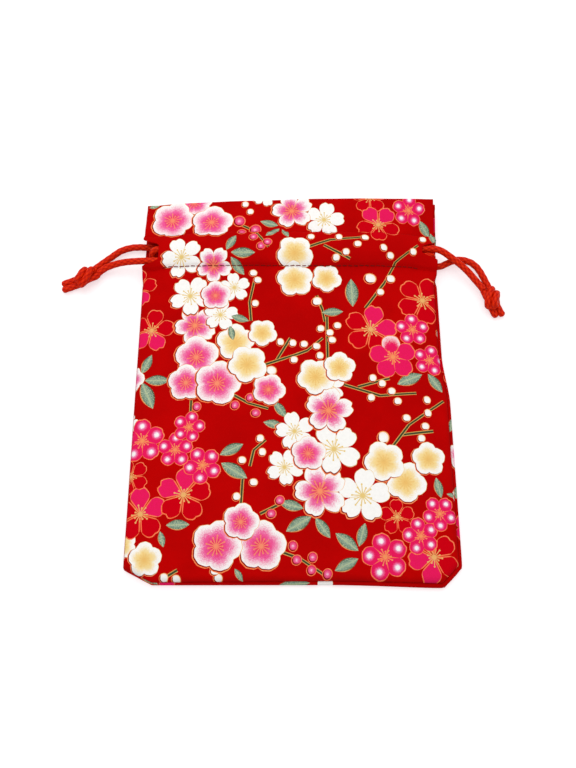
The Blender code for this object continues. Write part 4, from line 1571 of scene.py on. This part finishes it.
class POUCH_OT_stage(bpy.types.Operator):
    """Add the white floor, the soft light and the camera"""

    bl_idname = "pouch.stage"
    bl_label = "Stage"

    def execute(self, context):
        settings = context.scene.pouch_stage
        deselect_all()
        bpy.ops.mesh.primitive_plane_add(size=settings.floor)
        floor = context.object
        floor.name = "white_floor"
        floor.data.materials.append(white_material())
        light_world(settings)
        bpy.ops.object.light_add(type="AREA", location=LAMP_PLACE, rotation=aimed(-LAMP_PLACE))
        lamp = context.object
        lamp.data.energy = settings.key
        lamp.data.size = LAMP_SIZE
        bpy.ops.object.camera_add(location=CAMERA_PLACE, rotation=aimed(CAMERA_AIM - CAMERA_PLACE))
        camera = context.object
        camera.data.sensor_fit = "VERTICAL"
        camera.data.sensor_height = SENSOR_HEIGHT
        camera.data.lens = LENS
        camera.data.clip_start = CLIP_START
        context.scene.camera = camera
        context.scene.view_settings.view_transform = "Standard"
        return {"FINISHED"}


def seen_directly(tree):
    """1 for what the camera, a mirror or clear glass sees, and 0 for light that falls on things."""
    rays = tree.nodes.new("ShaderNodeLightPath")
    seen = Number(tree, rays.outputs["Is Camera Ray"])
    for name in ("Is Glossy Ray", "Is Transmission Ray"):
        seen = seen.math("MAXIMUM", Number(tree, rays.outputs[name]))
    return seen


def white_material():
    """Material of the floor: white where it is seen, with the shadows left on it and a painted pink tint in
    them.
    """
    material, tree, shader = new_material("white_floor", roughness=0.9, specular=0.0)
    seen = seen_directly(tree)
    # Painted shadow tint: the blue-green seen colour and the pink glow add up to white where lit and leave
    # the shadows pink.
    tree.links.new(colour_mix(tree, seen, FLOOR_UNSEEN, FLOOR_SEEN_FOR_PINK_SHADOW), shader.inputs["Base Color"])
    shader.inputs["Emission Color"].default_value = PINK_SHADOW_GLOW
    tree.links.new((seen * FLOOR_GLOW).socket, shader.inputs["Emission Strength"])
    return material


def light_world(settings):
    """Even light from all round, and plain white where the world is seen."""
    world = bpy.data.worlds.new("Studio")
    bpy.context.scene.world = world
    world.use_nodes = True
    tree = world.node_tree
    ground = tree.nodes["Background"]
    ground.inputs["Color"].default_value = (1, 1, 1, 1)
    strength = seen_directly(tree) * (1 - settings.sky) + settings.sky
    tree.links.new(strength.socket, ground.inputs["Strength"])


class POUCH_PT_tools(bpy.types.Panel):
    """Lists the pouch's pieces in the sidebar"""

    bl_idname = "POUCH_PT_tools"
    bl_label = "Kinchaku pouch"
    bl_space_type = "VIEW_3D"
    bl_region_type = "UI"
    bl_category = "Pouch"

    def draw(self, context):
        for operator in OPERATORS:
            self.layout.operator(operator.bl_idname)
        for name in SETTINGS:
            group = getattr(context.scene, name)
            box = self.layout.box()
            for entry in group.bl_rna.properties:
                if entry.identifier not in ("name", "rna_type"):
                    box.prop(group, entry.identifier)


OPERATORS = (
    POUCH_OT_back_cloth, POUCH_OT_front_cloth, POUCH_OT_stitching, POUCH_OT_drawstrings, POUCH_OT_stage,
)
SETTINGS = {
    "pouch_cloth": PouchClothSettings,
    "pouch_cord": PouchCordSettings,
    "pouch_stage": PouchStageSettings,
}


def register():
    """Adds the settings, the operators and the panel."""
    for group in SETTINGS.values():
        bpy.utils.register_class(group)
    for name, group in SETTINGS.items():
        setattr(bpy.types.Scene, name, PointerProperty(type=group))
    for operator in (*OPERATORS, POUCH_PT_tools):
        bpy.utils.register_class(operator)


def unregister():
    """Takes them away again."""
    for operator in (POUCH_PT_tools, *reversed(OPERATORS)):
        bpy.utils.unregister_class(operator)
    for name, group in reversed(SETTINGS.items()):
        delattr(bpy.types.Scene, name)
        bpy.utils.unregister_class(group)


def main():
    """Makes the pouch and its stage."""
    register()
    bpy.ops.pouch.stage()
    bpy.ops.pouch.drawstrings()
    bpy.ops.pouch.back_cloth()
    bpy.ops.pouch.front_cloth()
    bpy.ops.pouch.stitching()


if __name__ == "__main__":
    main()
